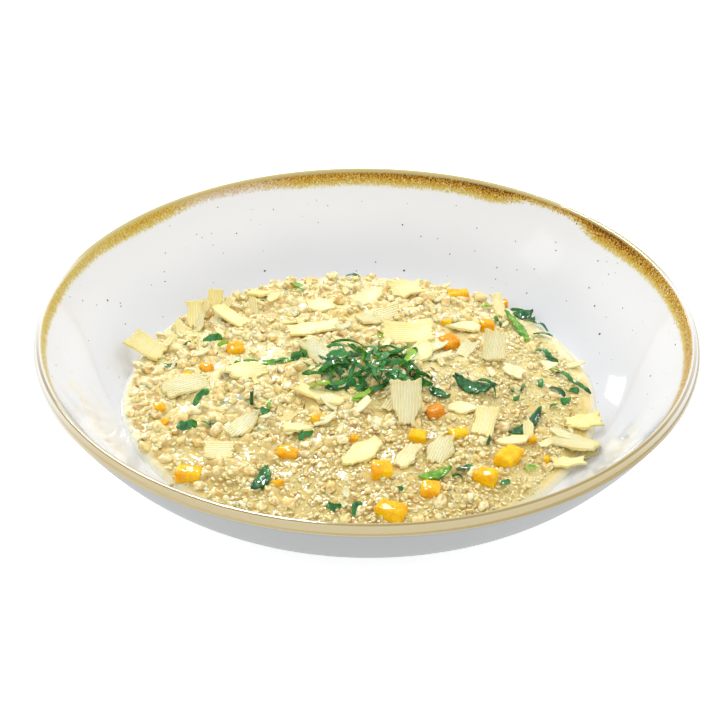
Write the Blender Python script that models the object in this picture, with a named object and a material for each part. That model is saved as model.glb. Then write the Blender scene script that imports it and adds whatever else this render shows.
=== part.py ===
"""Creamy risotto of small round grains in a wide stoneware bowl.

On the grains lie cheese shavings, squash cubes, single leaves and a heap of
shredded basil.  Metres, +Z up; the origin is the middle of the bowl's foot.
"""
import math
import random

import bmesh
import bpy
from mathutils import Euler, Matrix, Vector, noise
from mathutils.bvhtree import BVHTree

# Bowl: (radius, height) of the ends of its two wall curves, and their pulls.
BOWL_SIDES = 52
OUTER_LIP = (0.1240, 0.0450)
OUTER_PULL_HIGH = (0.1048, 0.0133)
OUTER_PULL_LOW = (0.0916, 0.0089)
OUTER_FOOT = (0.0620, 0.0025)
INNER_LIP = (0.1190, 0.0462)
INNER_PULL_HIGH = (0.1010, 0.0145)
INNER_PULL_LOW = (0.0880, 0.0090)
INNER_FLOOR = (0.0580, 0.0072)
FLOOR_HEIGHT = 0.0070
LIP_OUTER_SHOULDER = (0.12346, 0.04719)
LIP_TOP = (0.1215, 0.0480)
LIP_INNER_SHOULDER = (0.11963, 0.04737)
FOOT_OUTER = 0.0590
FOOT_INNER = 0.0550
FOOT_RECESS = 0.0022
OUTER_STEPS = 7
INNER_STEPS = 8
MERGE_DISTANCE = 1e-6

# Risotto: its edge, its crown, and the bumps of its grains.
FOOD_RADIUS = 0.0896
FOOD_LEAN = 0.0024
FOOD_LEAN_TOWARDS = math.radians(190)
FOOD_OVAL = 0.0010
FOOD_WAVE = 0.0010
WAVE_FINENESS = 3.0
WAVE_PLACE = 4.0
FOOD_TOP = 0.0240
EDGE_STEP = 0.0016
LUMP_HEIGHT = 0.0011
LUMP_SIZE = 0.0130
LUMP_FADE = 4
GRAIN_SEED = 11
GRAIN_RINGS = 28
GRAIN_BUMP_LOW = 0.0009
GRAIN_BUMP_HIGH = 0.0021
GRAIN_JITTER = 0.22
RIM_TEST_STEPS = 600
BUMP_WIDEST = 1.4
BUMP_TEST_REACHES = (0.0, 0.2, 0.4, 0.6, 0.8)
BUMP_TEST_TURNS = 12
GAP = 0.0004
WALL_GAP = 0.0005

# Toppings: thickness, and how far cut edges stray, as a share of the piece.
SHAVING_THICKNESS = 0.0010
LEAF_THICKNESS = 0.0007
CUBE_ROUNDING = 0.0007
CUBE_UNEVEN = 0.12
SHAVING_RAGGED = 0.10
LEAF_RAGGED = 0.05
STRIP_RAGGED = 0.06
CUP_SHARE = 0.25
SHEET_SEED = 7
SQUASH_SEED = 3

# Each shaving: x, y, length, width in mm; turn, rise of its far end and roll
# in degrees; lift of its ends in mm; outline.
SHAVINGS = (
    (-86, 21, 14, 11, 160, 22, 0, 0.6, "slab"),
    (-69, 43, 11, 8, 95, 35, 0, 0.5, "torn"),
    (-62, 55, 9, 6, 80, 42, 0, 0.3, "slab"),
    (-54, 42, 16, 7, 138, 6, 8, 0.6, "slab"),
    (-44, 66, 9, 7, 175, 0, 15, 0.5, "torn"),
    (-21, 31, 20, 8, 12, 2, 5, 0.7, "torn"),
    (-18, 50, 11, 8, 5, 0, 12, 0.8, "torn"),
    (0, 58, 16, 8, 36, 4, 6, 0.8, "petal"),
    (16, 67, 13, 11, 10, 0, 10, 0.8, "torn"),
    (5, 41, 17, 9, 20, 2, 8, 0.5, "torn"),
    (16, 27, 20, 11, 5, 0, 12, 1.0, "slab"),
    (21, 14, 14, 9, 60, 6, 0, 0.4, "petal"),
    (39, 36, 13, 8, 170, 0, 10, -0.9, "petal"),
    (50, 18, 12, 9, 80, 28, 0, 0.4, "slab"),
    (54, 57, 10, 5, 105, 30, 0, 0.4, "torn"),
    (-19, 12, 13, 8, 128, 10, 0, 0.4, "slab"),
    (-46, 0, 16, 8, 2, 0, 14, 0.5, "petal"),
    (-68, -7, 17, 9, 28, 0, 8, -0.6, "slab"),
    (-17, -17, 20, 8, 152, 2, 8, 1.2, "torn"),
    (15, -25, 19, 12, 92, 27, 0, 0.4, "stepped"),
    (36, -21, 10, 6, 5, 0, 8, 0.4, "petal"),
    (44, -29, 13, 8, 76, 16, 0, 0.6, "slab"),
    (27, -46, 14, 11, 70, 10, 0, 0.3, "cross"),
    (15, -50, 12, 7, 62, 8, 0, 0.4, "torn"),
    (-1, -48, 17, 9, 45, 4, 6, 0.5, "cross"),
    (77, -34, 17, 10, 158, 0, 8, 0.8, "slab"),
    (82, -21, 13, 8, 12, 3, 8, 0.7, "torn"),
    (74, -45, 12, 5, 8, 0, 6, 0.5, "torn"),
    (54, -37, 13, 4, 12, 0, 10, 0.4, "petal"),
    (-45, -33, 15, 8, 55, 8, 0, 0.8, "petal"),
    (-53, -46, 10, 8, 0, 0, 10, 0.3, "slab"),
    (-25, -36, 10, 6, 175, 0, 8, 0.3, "torn"),
)

# Each squash piece: x, y, three sizes, depth sunk into the grains in mm;
# turn and tilt in degrees.
SQUASH = (
    (-51, 18, 6.5, 6.0, 6.0, 2.5, 20, 8),
    (-62, 7, 6.0, 5.0, 5.0, 2.5, -25, 12),
    (38, 69, 9.5, 6.0, 5.5, 2.5, 5, -8),
    (32, 23, 8.0, 7.0, 7.0, 2.5, 35, 10),
    (48, 39, 6.0, 5.0, 7.5, 3.0, 15, 5),
    (26, -24, 7.0, 6.5, 6.5, 3.0, 20, -10),
    (19, -38, 6.5, 5.5, 5.5, 3.0, -10, 6),
    (34, -35, 7.0, 5.0, 5.0, 2.5, 25, 5),
    (52, -46, 12.0, 7.5, 7.5, 3.5, 58, 8),
    (43, -57, 9.0, 7.0, 7.0, 3.5, -20, -8),
    (6, -58, 8.0, 7.5, 7.5, 3.5, 8, 5),
    (23, -66, 7.5, 7.0, 6.5, 3.0, -5, 4),
    (9, -77, 11.0, 7.5, 7.0, 3.0, -28, -6),
    (-63, -58, 10.0, 6.5, 5.0, 1.0, -8, 0),
    (-28, -47, 9.0, 5.5, 4.5, 2.5, -18, 6),
)

# Each single leaf: name, x, y, length, width in mm; turn, rise and roll in
# degrees; lift of its ends and sideways bend in mm; outline; bright or dark.
LEAVES = (
    ("chive_long", -39, 8, 27, 2.2, 2, 2, 10, 0.8, 1.6, "ribbon", "bright"),
    ("basil_curl", 41, -8, 17, 5.0, -28, 4, 24, 2.6, 2.5, "blade", "dark"),
    ("basil_loop", 27, -13, 10, 3.2, -40, 6, 16, -0.8, 1.2, "petal", "dark"),
    ("leaf_bright", 61, 42, 22, 4.0, 110, 3, 18, 1.0, 1.6, "blade", "bright"),
    ("leaf_back", 64, 55, 8, 4.5, 10, 4, 16, 1.0, 0.8, "blade", "dark"),
    ("spinach_long", 60, -26, 20, 3.6, 52, 2, 18, 0.8, 2.2, "blade", "dark"),
    ("leaf_front", 25, -58, 13, 3.6, 24, 3, 16, 0.8, 1.0, "blade", "bright"),
    ("spinach_torn", -37, -62, 13, 5.0, 70, 3, 12, 0.9, 1.6, "blade", "dark"),
)

# Shredded basil: a low heap, and strips that cross it and reach past its edge.
PILE_X = 0.003
PILE_Y = 0.001
PILE_CORE = (0.0140, 0.0095, 0.0042)
PILE_STRIPS = 26
PILE_SPREAD = 0.80
STRIP_TURN = math.radians(137.5)
STRIP_LENGTH = (0.016, 0.029)
STRIP_WIDTH = (0.0020, 0.0034)
STRIP_CURL = 0.003
STRIP_BEND = 0.004
STRIP_ABOVE = (-0.1, 0.9)
STRIP_STRAY = 1.1
STRIP_ROLL = 1.0
STRIP_RISE = (-0.25, 0.15)
BASIL_SEED = 5


def plain_material(name, color, roughness):
    """A Principled material with one colour and no metal in it."""
    material = bpy.data.materials.new(name)
    material.use_nodes = True
    shader = material.node_tree.nodes["Principled BSDF"]
    shader.inputs["Base Color"].default_value = (*color, 1.0)
    shader.inputs["Roughness"].default_value = roughness
    shader.inputs["Metallic"].default_value = 0.0
    return material


def add_object(name, bm, material, smooth_angle=40.0):
    """Turn a bmesh into a named object, faces outward and round parts smooth."""
    bmesh.ops.recalc_face_normals(bm, faces=bm.faces)
    if bm.calc_volume(signed=True) < 0.0:
        bmesh.ops.reverse_faces(bm, faces=bm.faces)
    mesh = bpy.data.meshes.new(name)
    bm.to_mesh(mesh)
    bm.free()
    mesh.materials.append(material)
    mesh.shade_smooth()
    mesh.set_sharp_from_angle(angle=math.radians(smooth_angle))
    obj = bpy.data.objects.new(name, mesh)
    bpy.context.scene.collection.objects.link(obj)
    return obj


def wall_curve(start, pull_start, pull_end, end, steps):
    """Points (radius, height) along one curve of the bowl's wall."""
    points = []
    for step in range(steps + 1):
        t = step / steps
        s = 1.0 - t
        weights = (s ** 3, 3 * s * s * t, 3 * s * t * t, t ** 3)
        corners = (start, pull_start, pull_end, end)
        radius = sum(w * corner[0] for w, corner in zip(weights, corners))
        height = sum(w * corner[1] for w, corner in zip(weights, corners))
        points.append((radius, height))
    return points


INNER_WALL = wall_curve(INNER_LIP, INNER_PULL_HIGH, INNER_PULL_LOW, INNER_FLOOR, INNER_STEPS)


def inner_height(radius):
    """Height of the bowl's inner face at a distance from its middle."""
    if radius >= INNER_LIP[0]:
        return INNER_LIP[1]
    for (r_high, z_high), (r_low, z_low) in zip(INNER_WALL, INNER_WALL[1:]):
        if radius >= r_low:
            return z_low + (z_high - z_low) * (radius - r_low) / (r_high - r_low)
    return FLOOR_HEIGHT + (INNER_FLOOR[1] - FLOOR_HEIGHT) * radius / INNER_FLOOR[0]


def build_bowl(material):
    """Spin the bowl's section, from the middle of the foot out and back in."""
    outer = wall_curve(OUTER_LIP, OUTER_PULL_HIGH, OUTER_PULL_LOW, OUTER_FOOT, OUTER_STEPS)
    section = [(0.0, FOOT_RECESS), (FOOT_INNER - FOOT_RECESS, FOOT_RECESS)]
    section += [(FOOT_INNER, 0.0), (FOOT_OUTER, 0.0)]
    section += reversed(outer)
    section += [LIP_OUTER_SHOULDER, LIP_TOP, LIP_INNER_SHOULDER]
    section += INNER_WALL
    section.append((0.0, FLOOR_HEIGHT))
    bm = bmesh.new()
    verts = [bm.verts.new((radius, 0.0, height)) for radius, height in section]
    edges = [bm.edges.new(pair) for pair in zip(verts, verts[1:])]
    bmesh.ops.spin(
        bm, geom=verts + edges, cent=(0, 0, 0), axis=(0, 0, 1),
        angle=math.tau, steps=BOWL_SIDES, use_merge=True)
    bmesh.ops.remove_doubles(bm, verts=bm.verts, dist=MERGE_DISTANCE)
    return add_object("bowl", bm, material)


def food_edge(angle):
    """Distance from the middle to the risotto's edge; it lies a little to the left."""
    turn = Vector((math.cos(angle), math.sin(angle), 0.0)) * WAVE_FINENESS
    wave = noise.noise(turn + Vector((0.0, 0.0, WAVE_PLACE)))
    lean = FOOD_LEAN * math.cos(angle - FOOD_LEAN_TOWARDS)
    return FOOD_RADIUS + lean + FOOD_OVAL * math.cos(2 * angle) + FOOD_WAVE * wave


def core_height(x, y):
    """Height of the risotto at a point, without the bumps of its grains."""
    edge = food_edge(math.atan2(y, x))
    share = min(math.hypot(x, y) / edge, 1.0)
    edge_height = inner_height(edge) + EDGE_STEP
    lump = LUMP_HEIGHT * noise.noise(Vector((x, y, 0.0)) / LUMP_SIZE) * (1.0 - share ** LUMP_FADE)
    return edge_height + (FOOD_TOP - edge_height) * (1.0 - share * share) + lump


def food_rim():
    """Points along the upper edge of the risotto."""
    points = []
    for step in range(RIM_TEST_STEPS):
        angle = step * math.tau / RIM_TEST_STEPS
        x = food_edge(angle) * math.cos(angle)
        y = food_edge(angle) * math.sin(angle)
        points.append(Vector((x, y, core_height(x, y))))
    return points


FOOD_RIM = food_rim()


def ground_height(x, y):
    """Height of what lies under a topping: the risotto, or the bowl beside it."""
    if math.hypot(x, y) <= food_edge(math.atan2(y, x)) + WALL_GAP:
        return core_height(x, y)
    return inner_height(math.hypot(x, y))


def sample_points(mesh, matrix):
    """Corners, edge middles and face middles of a mesh, placed by a matrix."""
    corners = [matrix @ vert.co for vert in mesh.vertices]
    points = list(corners)
    for edge in mesh.edges:
        points.append((corners[edge.vertices[0]] + corners[edge.vertices[1]]) / 2)
    points += [matrix @ face.center for face in mesh.polygons]
    return corners, points


class Placed:
    """A topping that already lies in the bowl, ready to be tested against."""

    def __init__(self, mesh, matrix):
        corners, self.points = sample_points(mesh, matrix)
        faces = [tuple(face.vertices) for face in mesh.polygons]
        self.tree = BVHTree.FromPolygons(corners, faces)
        self.middle = sum(corners, Vector()) / len(corners)
        self.reach = max((corner - self.middle).to_2d().length for corner in corners)

    def top_at(self, x, y):
        """Height of its upper side at a point, or None beside it."""
        return self.tree.ray_cast(Vector((x, y, 1.0)), Vector((0, 0, -1)))[0]

    def underside_at(self, x, y):
        """Height of its lower side at a point, or None beside it."""
        return self.tree.ray_cast(Vector((x, y, -1.0)), Vector((0, 0, 1)))[0]


def resting_lift(mesh, matrix, others):
    """How far a piece moves up or down so that it just clears all that is under it."""
    piece = Placed(mesh, matrix)
    lift = max(ground_height(p.x, p.y) + GAP - p.z for p in piece.points)
    for point in FOOD_RIM:
        underside = piece.underside_at(point.x, point.y)
        if underside:
            lift = max(lift, point.z + GAP - underside.z)
    for other in others:
        for point in piece.points:
            top = other.top_at(point.x, point.y)
            if top:
                lift = max(lift, top.z + GAP - point.z)
        for point in other.points:
            underside = piece.underside_at(point.x, point.y)
            if underside:
                lift = max(lift, point.z + GAP - underside.z)
    return lift


OUTLINES = {
    "slab": lambda u: 1.0,
    "torn": lambda u: 0.82 + 0.18 * math.cos(5.0 * u + 1.0),
    "petal": lambda u: math.sqrt(max(1.0 - 0.93 * u * u, 0.0)),
    "stepped": lambda u: 1.0 if u > -0.25 else 0.52,
    "cross": lambda u: 1.0 if abs(u) < 0.3 else 0.56,
    "ribbon": lambda u: 1.0 - 0.35 * u * u,
    "blade": lambda u: (1.0 - 0.97 * u * u) ** 0.6,
}


def build_sheet(length, width, thickness, outline, lift, bend, rng, ragged, steps=(5, 2)):
    """A thin curved sheet: a grid cut to an outline, curled, and made solid."""
    bm = bmesh.new()
    bmesh.ops.create_grid(bm, x_segments=steps[0], y_segments=steps[1], size=1.0)
    twist = rng.uniform(-1.0, 1.0) * ragged
    for vert in bm.verts:
        u, v = vert.co.x, vert.co.y
        half_width = 0.5 * width * OUTLINES[outline](u)
        if abs(u) > 0.99:
            u += rng.uniform(-1.0, 1.0) * ragged
        if abs(v) > 0.99:
            half_width *= 1.0 + rng.uniform(-1.0, 1.0) * ragged
        cup = CUP_SHARE * lift * v * v
        vert.co = (
            0.5 * length * u,
            half_width * v + bend * (u * u - 0.5),
            lift * u * u + cup + twist * width * u * v,
        )
    bmesh.ops.triangulate(bm, faces=bm.faces)
    bmesh.ops.solidify(bm, geom=bm.faces, thickness=thickness)
    return bm


def place_sheet(name, row, thickness, outline, lift, bend, material, rng, others, ragged):
    """Build one shaving or leaf and set it down on what lies under it."""
    x, y, length, width, turn, rise, roll = row
    bm = build_sheet(
        length / 1000, width / 1000, thickness, outline, lift / 1000, bend / 1000, rng, ragged)
    obj = add_object(name, bm, material)
    obj.location = (x / 1000, y / 1000, FOOD_TOP)
    obj.rotation_euler = (math.radians(roll), -math.radians(rise), math.radians(turn))
    matrix = Matrix.LocRotScale(obj.location, obj.rotation_euler, None)
    obj.location.z += resting_lift(obj.data, matrix, others)
    matrix = Matrix.LocRotScale(obj.location, obj.rotation_euler, None)
    others.append(Placed(obj.data, matrix))
    return obj


def block_mesh(sizes, rounding, rng=None):
    """A cut block: a cube stretched to its sizes, uneven, with broken edges."""
    bm = bmesh.new()
    bmesh.ops.create_cube(bm, size=1.0)
    for vert in bm.verts:
        uneven = 1.0 if rng is None else rng.uniform(1.0 - CUBE_UNEVEN, 1.0)
        vert.co = Vector(vert.co[axis] * sizes[axis] * uneven for axis in range(3))
    if rounding > 0.0:
        bmesh.ops.bevel(
            bm, geom=bm.edges, offset=rounding, offset_type="OFFSET", segments=1,
            profile=0.5, affect="EDGES", material=-1)
    return bm


def build_squash(material, rng, others):
    """Set each squash piece into the grains; return the pieces' enlarged blocks."""
    pockets = bmesh.new()
    for number, (x, y, long, wide, tall, sunk, turn, tilt) in enumerate(SQUASH, start=1):
        sizes = (long / 1000, wide / 1000, tall / 1000)
        obj = add_object(f"squash_{number:02d}", block_mesh(sizes, CUBE_ROUNDING, rng), material, 30.0)
        rotation = Euler((math.radians(tilt), math.radians(tilt * 0.6), math.radians(turn)))
        base = core_height(x / 1000, y / 1000) - sunk / 1000
        height = base + sizes[2] / 2
        obj.location = (x / 1000, y / 1000, height)
        obj.rotation_euler = rotation
        matrix = Matrix.LocRotScale(obj.location, rotation, None)
        others.append(Placed(obj.data, matrix))
        pocket = block_mesh([size + 2 * GAP for size in sizes], 0.0)
        pocket.transform(matrix)
        corners = {vert: pockets.verts.new(vert.co) for vert in pocket.verts}
        for face in pocket.faces:
            pockets.faces.new([corners[vert] for vert in face.verts])
        pocket.free()
    return pockets


def crown_grid():
    """A flat six-sided grid of triangles, which becomes the risotto's upper face."""
    bm = bmesh.new()
    corner_ahead = Matrix.Rotation(math.radians(30), 4, "Z")
    bmesh.ops.create_circle(
        bm, segments=6, radius=float(GRAIN_RINGS), cap_ends=True, cap_tris=True, matrix=corner_ahead)
    bmesh.ops.subdivide_edges(bm, edges=bm.edges, cuts=GRAIN_RINGS - 1, use_grid_fill=True)
    return bm


def lattice_cell(x, y):
    """Whole-number row and column of a point of the triangle grid."""
    row = round(y / (math.sqrt(3.0) / 2.0))
    column = round(x - row / 2.0)
    return column, row


def disc_place(x, y):
    """Ring share and angle on the disc of a point of the six-sided grid."""
    angle = math.atan2(y, x)
    sixth = math.pi / 3.0
    sector = math.floor(angle / sixth)
    offset = angle - (sector + 0.5) * sixth
    share = math.hypot(x, y) * math.cos(offset) / math.cos(sixth / 2.0) / GRAIN_RINGS
    along = math.tan(offset) / math.tan(sixth / 2.0)
    return share, (sector + 0.5 + 0.5 * along) * sixth


def free_bump(x, y, height, spread, others):
    """The tallest bump that fits at a point without touching a topping."""
    here = Vector((x, y))
    near = [other for other in others if (other.middle.to_2d() - here).length < other.reach + spread]
    allowed = height
    for reach in BUMP_TEST_REACHES:
        for step in range(BUMP_TEST_TURNS):
            angle = step * math.tau / BUMP_TEST_TURNS
            px = x + reach * spread * math.cos(angle)
            py = y + reach * spread * math.sin(angle)
            for other in near:
                underside = other.underside_at(px, py)
                if underside:
                    room = max(underside.z - GAP - core_height(px, py), 0.0)
                    allowed = min(allowed, room / (1.0 - reach))
    for other in near:
        for point in other.points:
            away = (point.to_2d() - here).length / spread
            if away < 1.0:
                room = max(point.z - GAP - core_height(point.x, point.y), 0.0)
                allowed = min(allowed, room / (1.0 - away))
    return allowed


def build_risotto(material, pockets, others):
    """The risotto: a bumpy crown of grains over a body that follows the bowl."""
    rng = random.Random(GRAIN_SEED)
    bm = crown_grid()
    spread = FOOD_RADIUS / GRAIN_RINGS
    for vert in bm.verts:
        column, row = lattice_cell(vert.co.x, vert.co.y)
        share, angle = disc_place(vert.co.x, vert.co.y)
        edge = food_edge(angle)
        x = share * edge * math.cos(angle)
        y = share * edge * math.sin(angle)
        inside = share < 1.0 - 0.5 / GRAIN_RINGS
        if inside:
            x += rng.uniform(-1.0, 1.0) * GRAIN_JITTER * spread
            y += rng.uniform(-1.0, 1.0) * GRAIN_JITTER * spread
        z = core_height(x, y)
        if inside and (column - row) % 3 == 0:
            bump = rng.uniform(GRAIN_BUMP_LOW, GRAIN_BUMP_HIGH)
            z += free_bump(x, y, bump, BUMP_WIDEST * spread, others)
        vert.co = (x, y, z)
    rim = [edge for edge in bm.edges if edge.is_boundary]
    for radius in (None, INNER_FLOOR[0]):
        made = bmesh.ops.extrude_edge_only(bm, edges=rim)["geom"]
        rim = [item for item in made if isinstance(item, bmesh.types.BMEdge)]
        rim = [edge for edge in rim if edge.is_boundary]
        for vert in {vert for edge in rim for vert in edge.verts}:
            here = math.hypot(vert.co.x, vert.co.y)
            wanted = here if radius is None else radius
            scale = wanted / here
            vert.co = (vert.co.x * scale, vert.co.y * scale, inner_height(wanted) + WALL_GAP)
    bmesh.ops.edgeloop_fill(bm, edges=rim)
    obj = add_object("risotto", bm, material)
    cutter_mesh = bpy.data.meshes.new("squash_pockets")
    bmesh.ops.recalc_face_normals(pockets, faces=pockets.faces)
    pockets.to_mesh(cutter_mesh)
    pockets.free()
    cutter = bpy.data.objects.new("squash_pockets", cutter_mesh)
    cutter.hide_render = True
    cutter.display_type = "WIRE"
    bpy.context.scene.collection.objects.link(cutter)
    cut = obj.modifiers.new("Squash pockets", "BOOLEAN")
    cut.operation = "DIFFERENCE"
    cut.solver = "MANIFOLD"
    cut.object = cutter
    return obj


def largest_body(mesh):
    """Keep only the largest closed body of a mesh, so that no scrap or hollow is left."""
    bm = bmesh.new()
    bm.from_mesh(mesh)
    unseen = set(bm.verts)
    bodies = []
    while unseen:
        body = set()
        ahead = [unseen.pop()]
        while ahead:
            vert = ahead.pop()
            body.add(vert)
            for edge in vert.link_edges:
                other = edge.other_vert(vert)
                if other in unseen:
                    unseen.discard(other)
                    ahead.append(other)
        bodies.append(body)
    bodies.sort(key=len, reverse=True)
    for body in bodies[1:]:
        bmesh.ops.delete(bm, geom=list(body), context="VERTS")
    return bm


def build_basil(material, others):
    """Shredded basil: strips that reach out from a low heap, joined into one body."""
    rng = random.Random(BASIL_SEED)
    strips = bpy.data.collections.new("basil_strips")
    core_bm = bmesh.new()
    bmesh.ops.create_icosphere(core_bm, subdivisions=2, radius=1.0)
    for vert in core_bm.verts:
        vert.co = Vector(vert.co[axis] * PILE_CORE[axis] for axis in range(3))
    core = add_object("basil_shreds", core_bm, material)
    core.location = (PILE_X, PILE_Y, FOOD_TOP)
    core_matrix = Matrix.Translation(core.location)
    core.location.z += resting_lift(core.data, core_matrix, others)
    for number in range(PILE_STRIPS):
        length = rng.uniform(*STRIP_LENGTH)
        width = rng.uniform(*STRIP_WIDTH)
        bm = build_sheet(
            length, width, LEAF_THICKNESS, "ribbon", rng.uniform(-STRIP_CURL, STRIP_CURL),
            rng.uniform(-STRIP_BEND, STRIP_BEND), rng, STRIP_RAGGED, steps=(4, 1))
        around = number * STRIP_TURN
        out = PILE_SPREAD * math.sqrt((number + 0.5) / PILE_STRIPS)
        above = rng.uniform(*STRIP_ABOVE) * math.sqrt(1.0 - out * out)
        strip = add_object(f"strip_{number:02d}", bm, material)
        strip.location = core.location + Vector((
            PILE_CORE[0] * out * math.cos(around), PILE_CORE[1] * out * math.sin(around),
            PILE_CORE[2] * above))
        turn = around + rng.uniform(-STRIP_STRAY, STRIP_STRAY)
        strip.rotation_euler = (rng.uniform(-STRIP_ROLL, STRIP_ROLL), rng.uniform(*STRIP_RISE), turn)
        matrix = Matrix.LocRotScale(strip.location, strip.rotation_euler, None)
        strip.location.z += max(resting_lift(strip.data, matrix, others), 0.0)
        bpy.context.scene.collection.objects.unlink(strip)
        strips.objects.link(strip)
    bpy.context.scene.collection.children.link(strips)
    join = core.modifiers.new("Join strips", "BOOLEAN")
    join.operation = "UNION"
    join.operand_type = "COLLECTION"
    join.collection = strips
    join.solver = "MANIFOLD"
    depsgraph = bpy.context.evaluated_depsgraph_get()
    joined = bpy.data.meshes.new_from_object(core.evaluated_get(depsgraph))
    core.modifiers.clear()
    bm = largest_body(joined)
    bm.to_mesh(core.data)
    bm.free()
    for strip in list(strips.objects):
        bpy.data.objects.remove(strip)
    bpy.data.collections.remove(strips)
    others.append(Placed(core.data, Matrix.Translation(core.location)))
    return core


def main():
    for obj in list(bpy.data.objects):
        bpy.data.objects.remove(obj)
    glaze = plain_material("glaze", (0.86, 0.85, 0.82), 0.20)
    grains = plain_material("grains", (0.76, 0.66, 0.46), 0.45)
    cheese = plain_material("cheese", (0.90, 0.82, 0.50), 0.50)
    squash = plain_material("squash", (0.86, 0.45, 0.06), 0.40)
    dark_leaf = plain_material("dark_leaf", (0.04, 0.18, 0.04), 0.40)
    bright_leaf = plain_material("bright_leaf", (0.20, 0.42, 0.06), 0.40)

    others = []
    build_bowl(glaze)
    pockets = build_squash(squash, random.Random(SQUASH_SEED), others)
    rng = random.Random(SHEET_SEED)
    for number, row in enumerate(SHAVINGS, start=1):
        place_sheet(
            f"shaving_{number:02d}", row[:7], SHAVING_THICKNESS, row[8], row[7], 0.0,
            cheese, rng, others, SHAVING_RAGGED)
    for name, *row in LEAVES:
        leaf = bright_leaf if row[10] == "bright" else dark_leaf
        place_sheet(
            name, row[:7], LEAF_THICKNESS, row[9], row[7], row[8], leaf, rng, others, LEAF_RAGGED)
    build_basil(dark_leaf, others)
    build_risotto(grains, pockets, others)


main()
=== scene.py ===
"""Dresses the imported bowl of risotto: glaze, cream, grains, cheese, squash and greens.

Metres, +Z up, the origin in the middle of the bowl's foot.
"""
import math
import random

import bmesh
import bpy
import numpy as np
from mathutils import Euler, Matrix, Quaternion, Vector, noise
from mathutils.bvhtree import BVHTree


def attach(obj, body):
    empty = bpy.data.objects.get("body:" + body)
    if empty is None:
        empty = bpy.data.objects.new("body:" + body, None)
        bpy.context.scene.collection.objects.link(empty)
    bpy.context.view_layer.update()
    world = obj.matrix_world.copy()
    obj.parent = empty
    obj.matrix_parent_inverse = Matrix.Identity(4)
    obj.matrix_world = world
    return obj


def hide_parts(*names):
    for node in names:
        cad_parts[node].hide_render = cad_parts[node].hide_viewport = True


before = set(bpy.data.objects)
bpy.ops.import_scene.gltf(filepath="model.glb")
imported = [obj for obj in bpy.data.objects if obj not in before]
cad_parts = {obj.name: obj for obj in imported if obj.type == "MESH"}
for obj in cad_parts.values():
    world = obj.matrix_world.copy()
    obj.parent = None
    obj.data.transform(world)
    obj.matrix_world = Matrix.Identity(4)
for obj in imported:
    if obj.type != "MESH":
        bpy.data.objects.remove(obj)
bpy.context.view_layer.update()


# ---------------------------------------------------------------- the bowl
# A wide shallow coupe of stoneware, thrown on a wheel and trimmed to a low foot
# ring. It is dipped in a white glaze with iron specks. Over the rounded lip the
# glaze is thin and shows the beige clay; an iron wash runs brown just inside it.

# Each curve: (radius, height) of its start, two pulls and end, in metres.
OUTER_WALL = ((0.0620, 0.0025), (0.0916, 0.0089), (0.1048, 0.0133), (0.1240, 0.0450))
LIP_OUTSIDE = ((0.1240, 0.0450), (0.1243, 0.0468), (0.1229, 0.0480), (0.1215, 0.0480))
LIP_INSIDE = ((0.1215, 0.0480), (0.1208, 0.0480), (0.1202, 0.0474), (0.1197, 0.0462))
INNER_WALL = ((0.1197, 0.0462), (0.1010, 0.0145), (0.0880, 0.0090), (0.0580, 0.0072))
FOOT_RING = ((0.0530, 0.0022), (0.0548, 0.0004), (0.0554, 0.0), (0.0586, 0.0), (0.0596, 0.0006))
FLOOR_HEIGHT = 0.0070
BOWL_TURNS = 432
WALL_STEPS, LIP_STEPS = 44, 10


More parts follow.
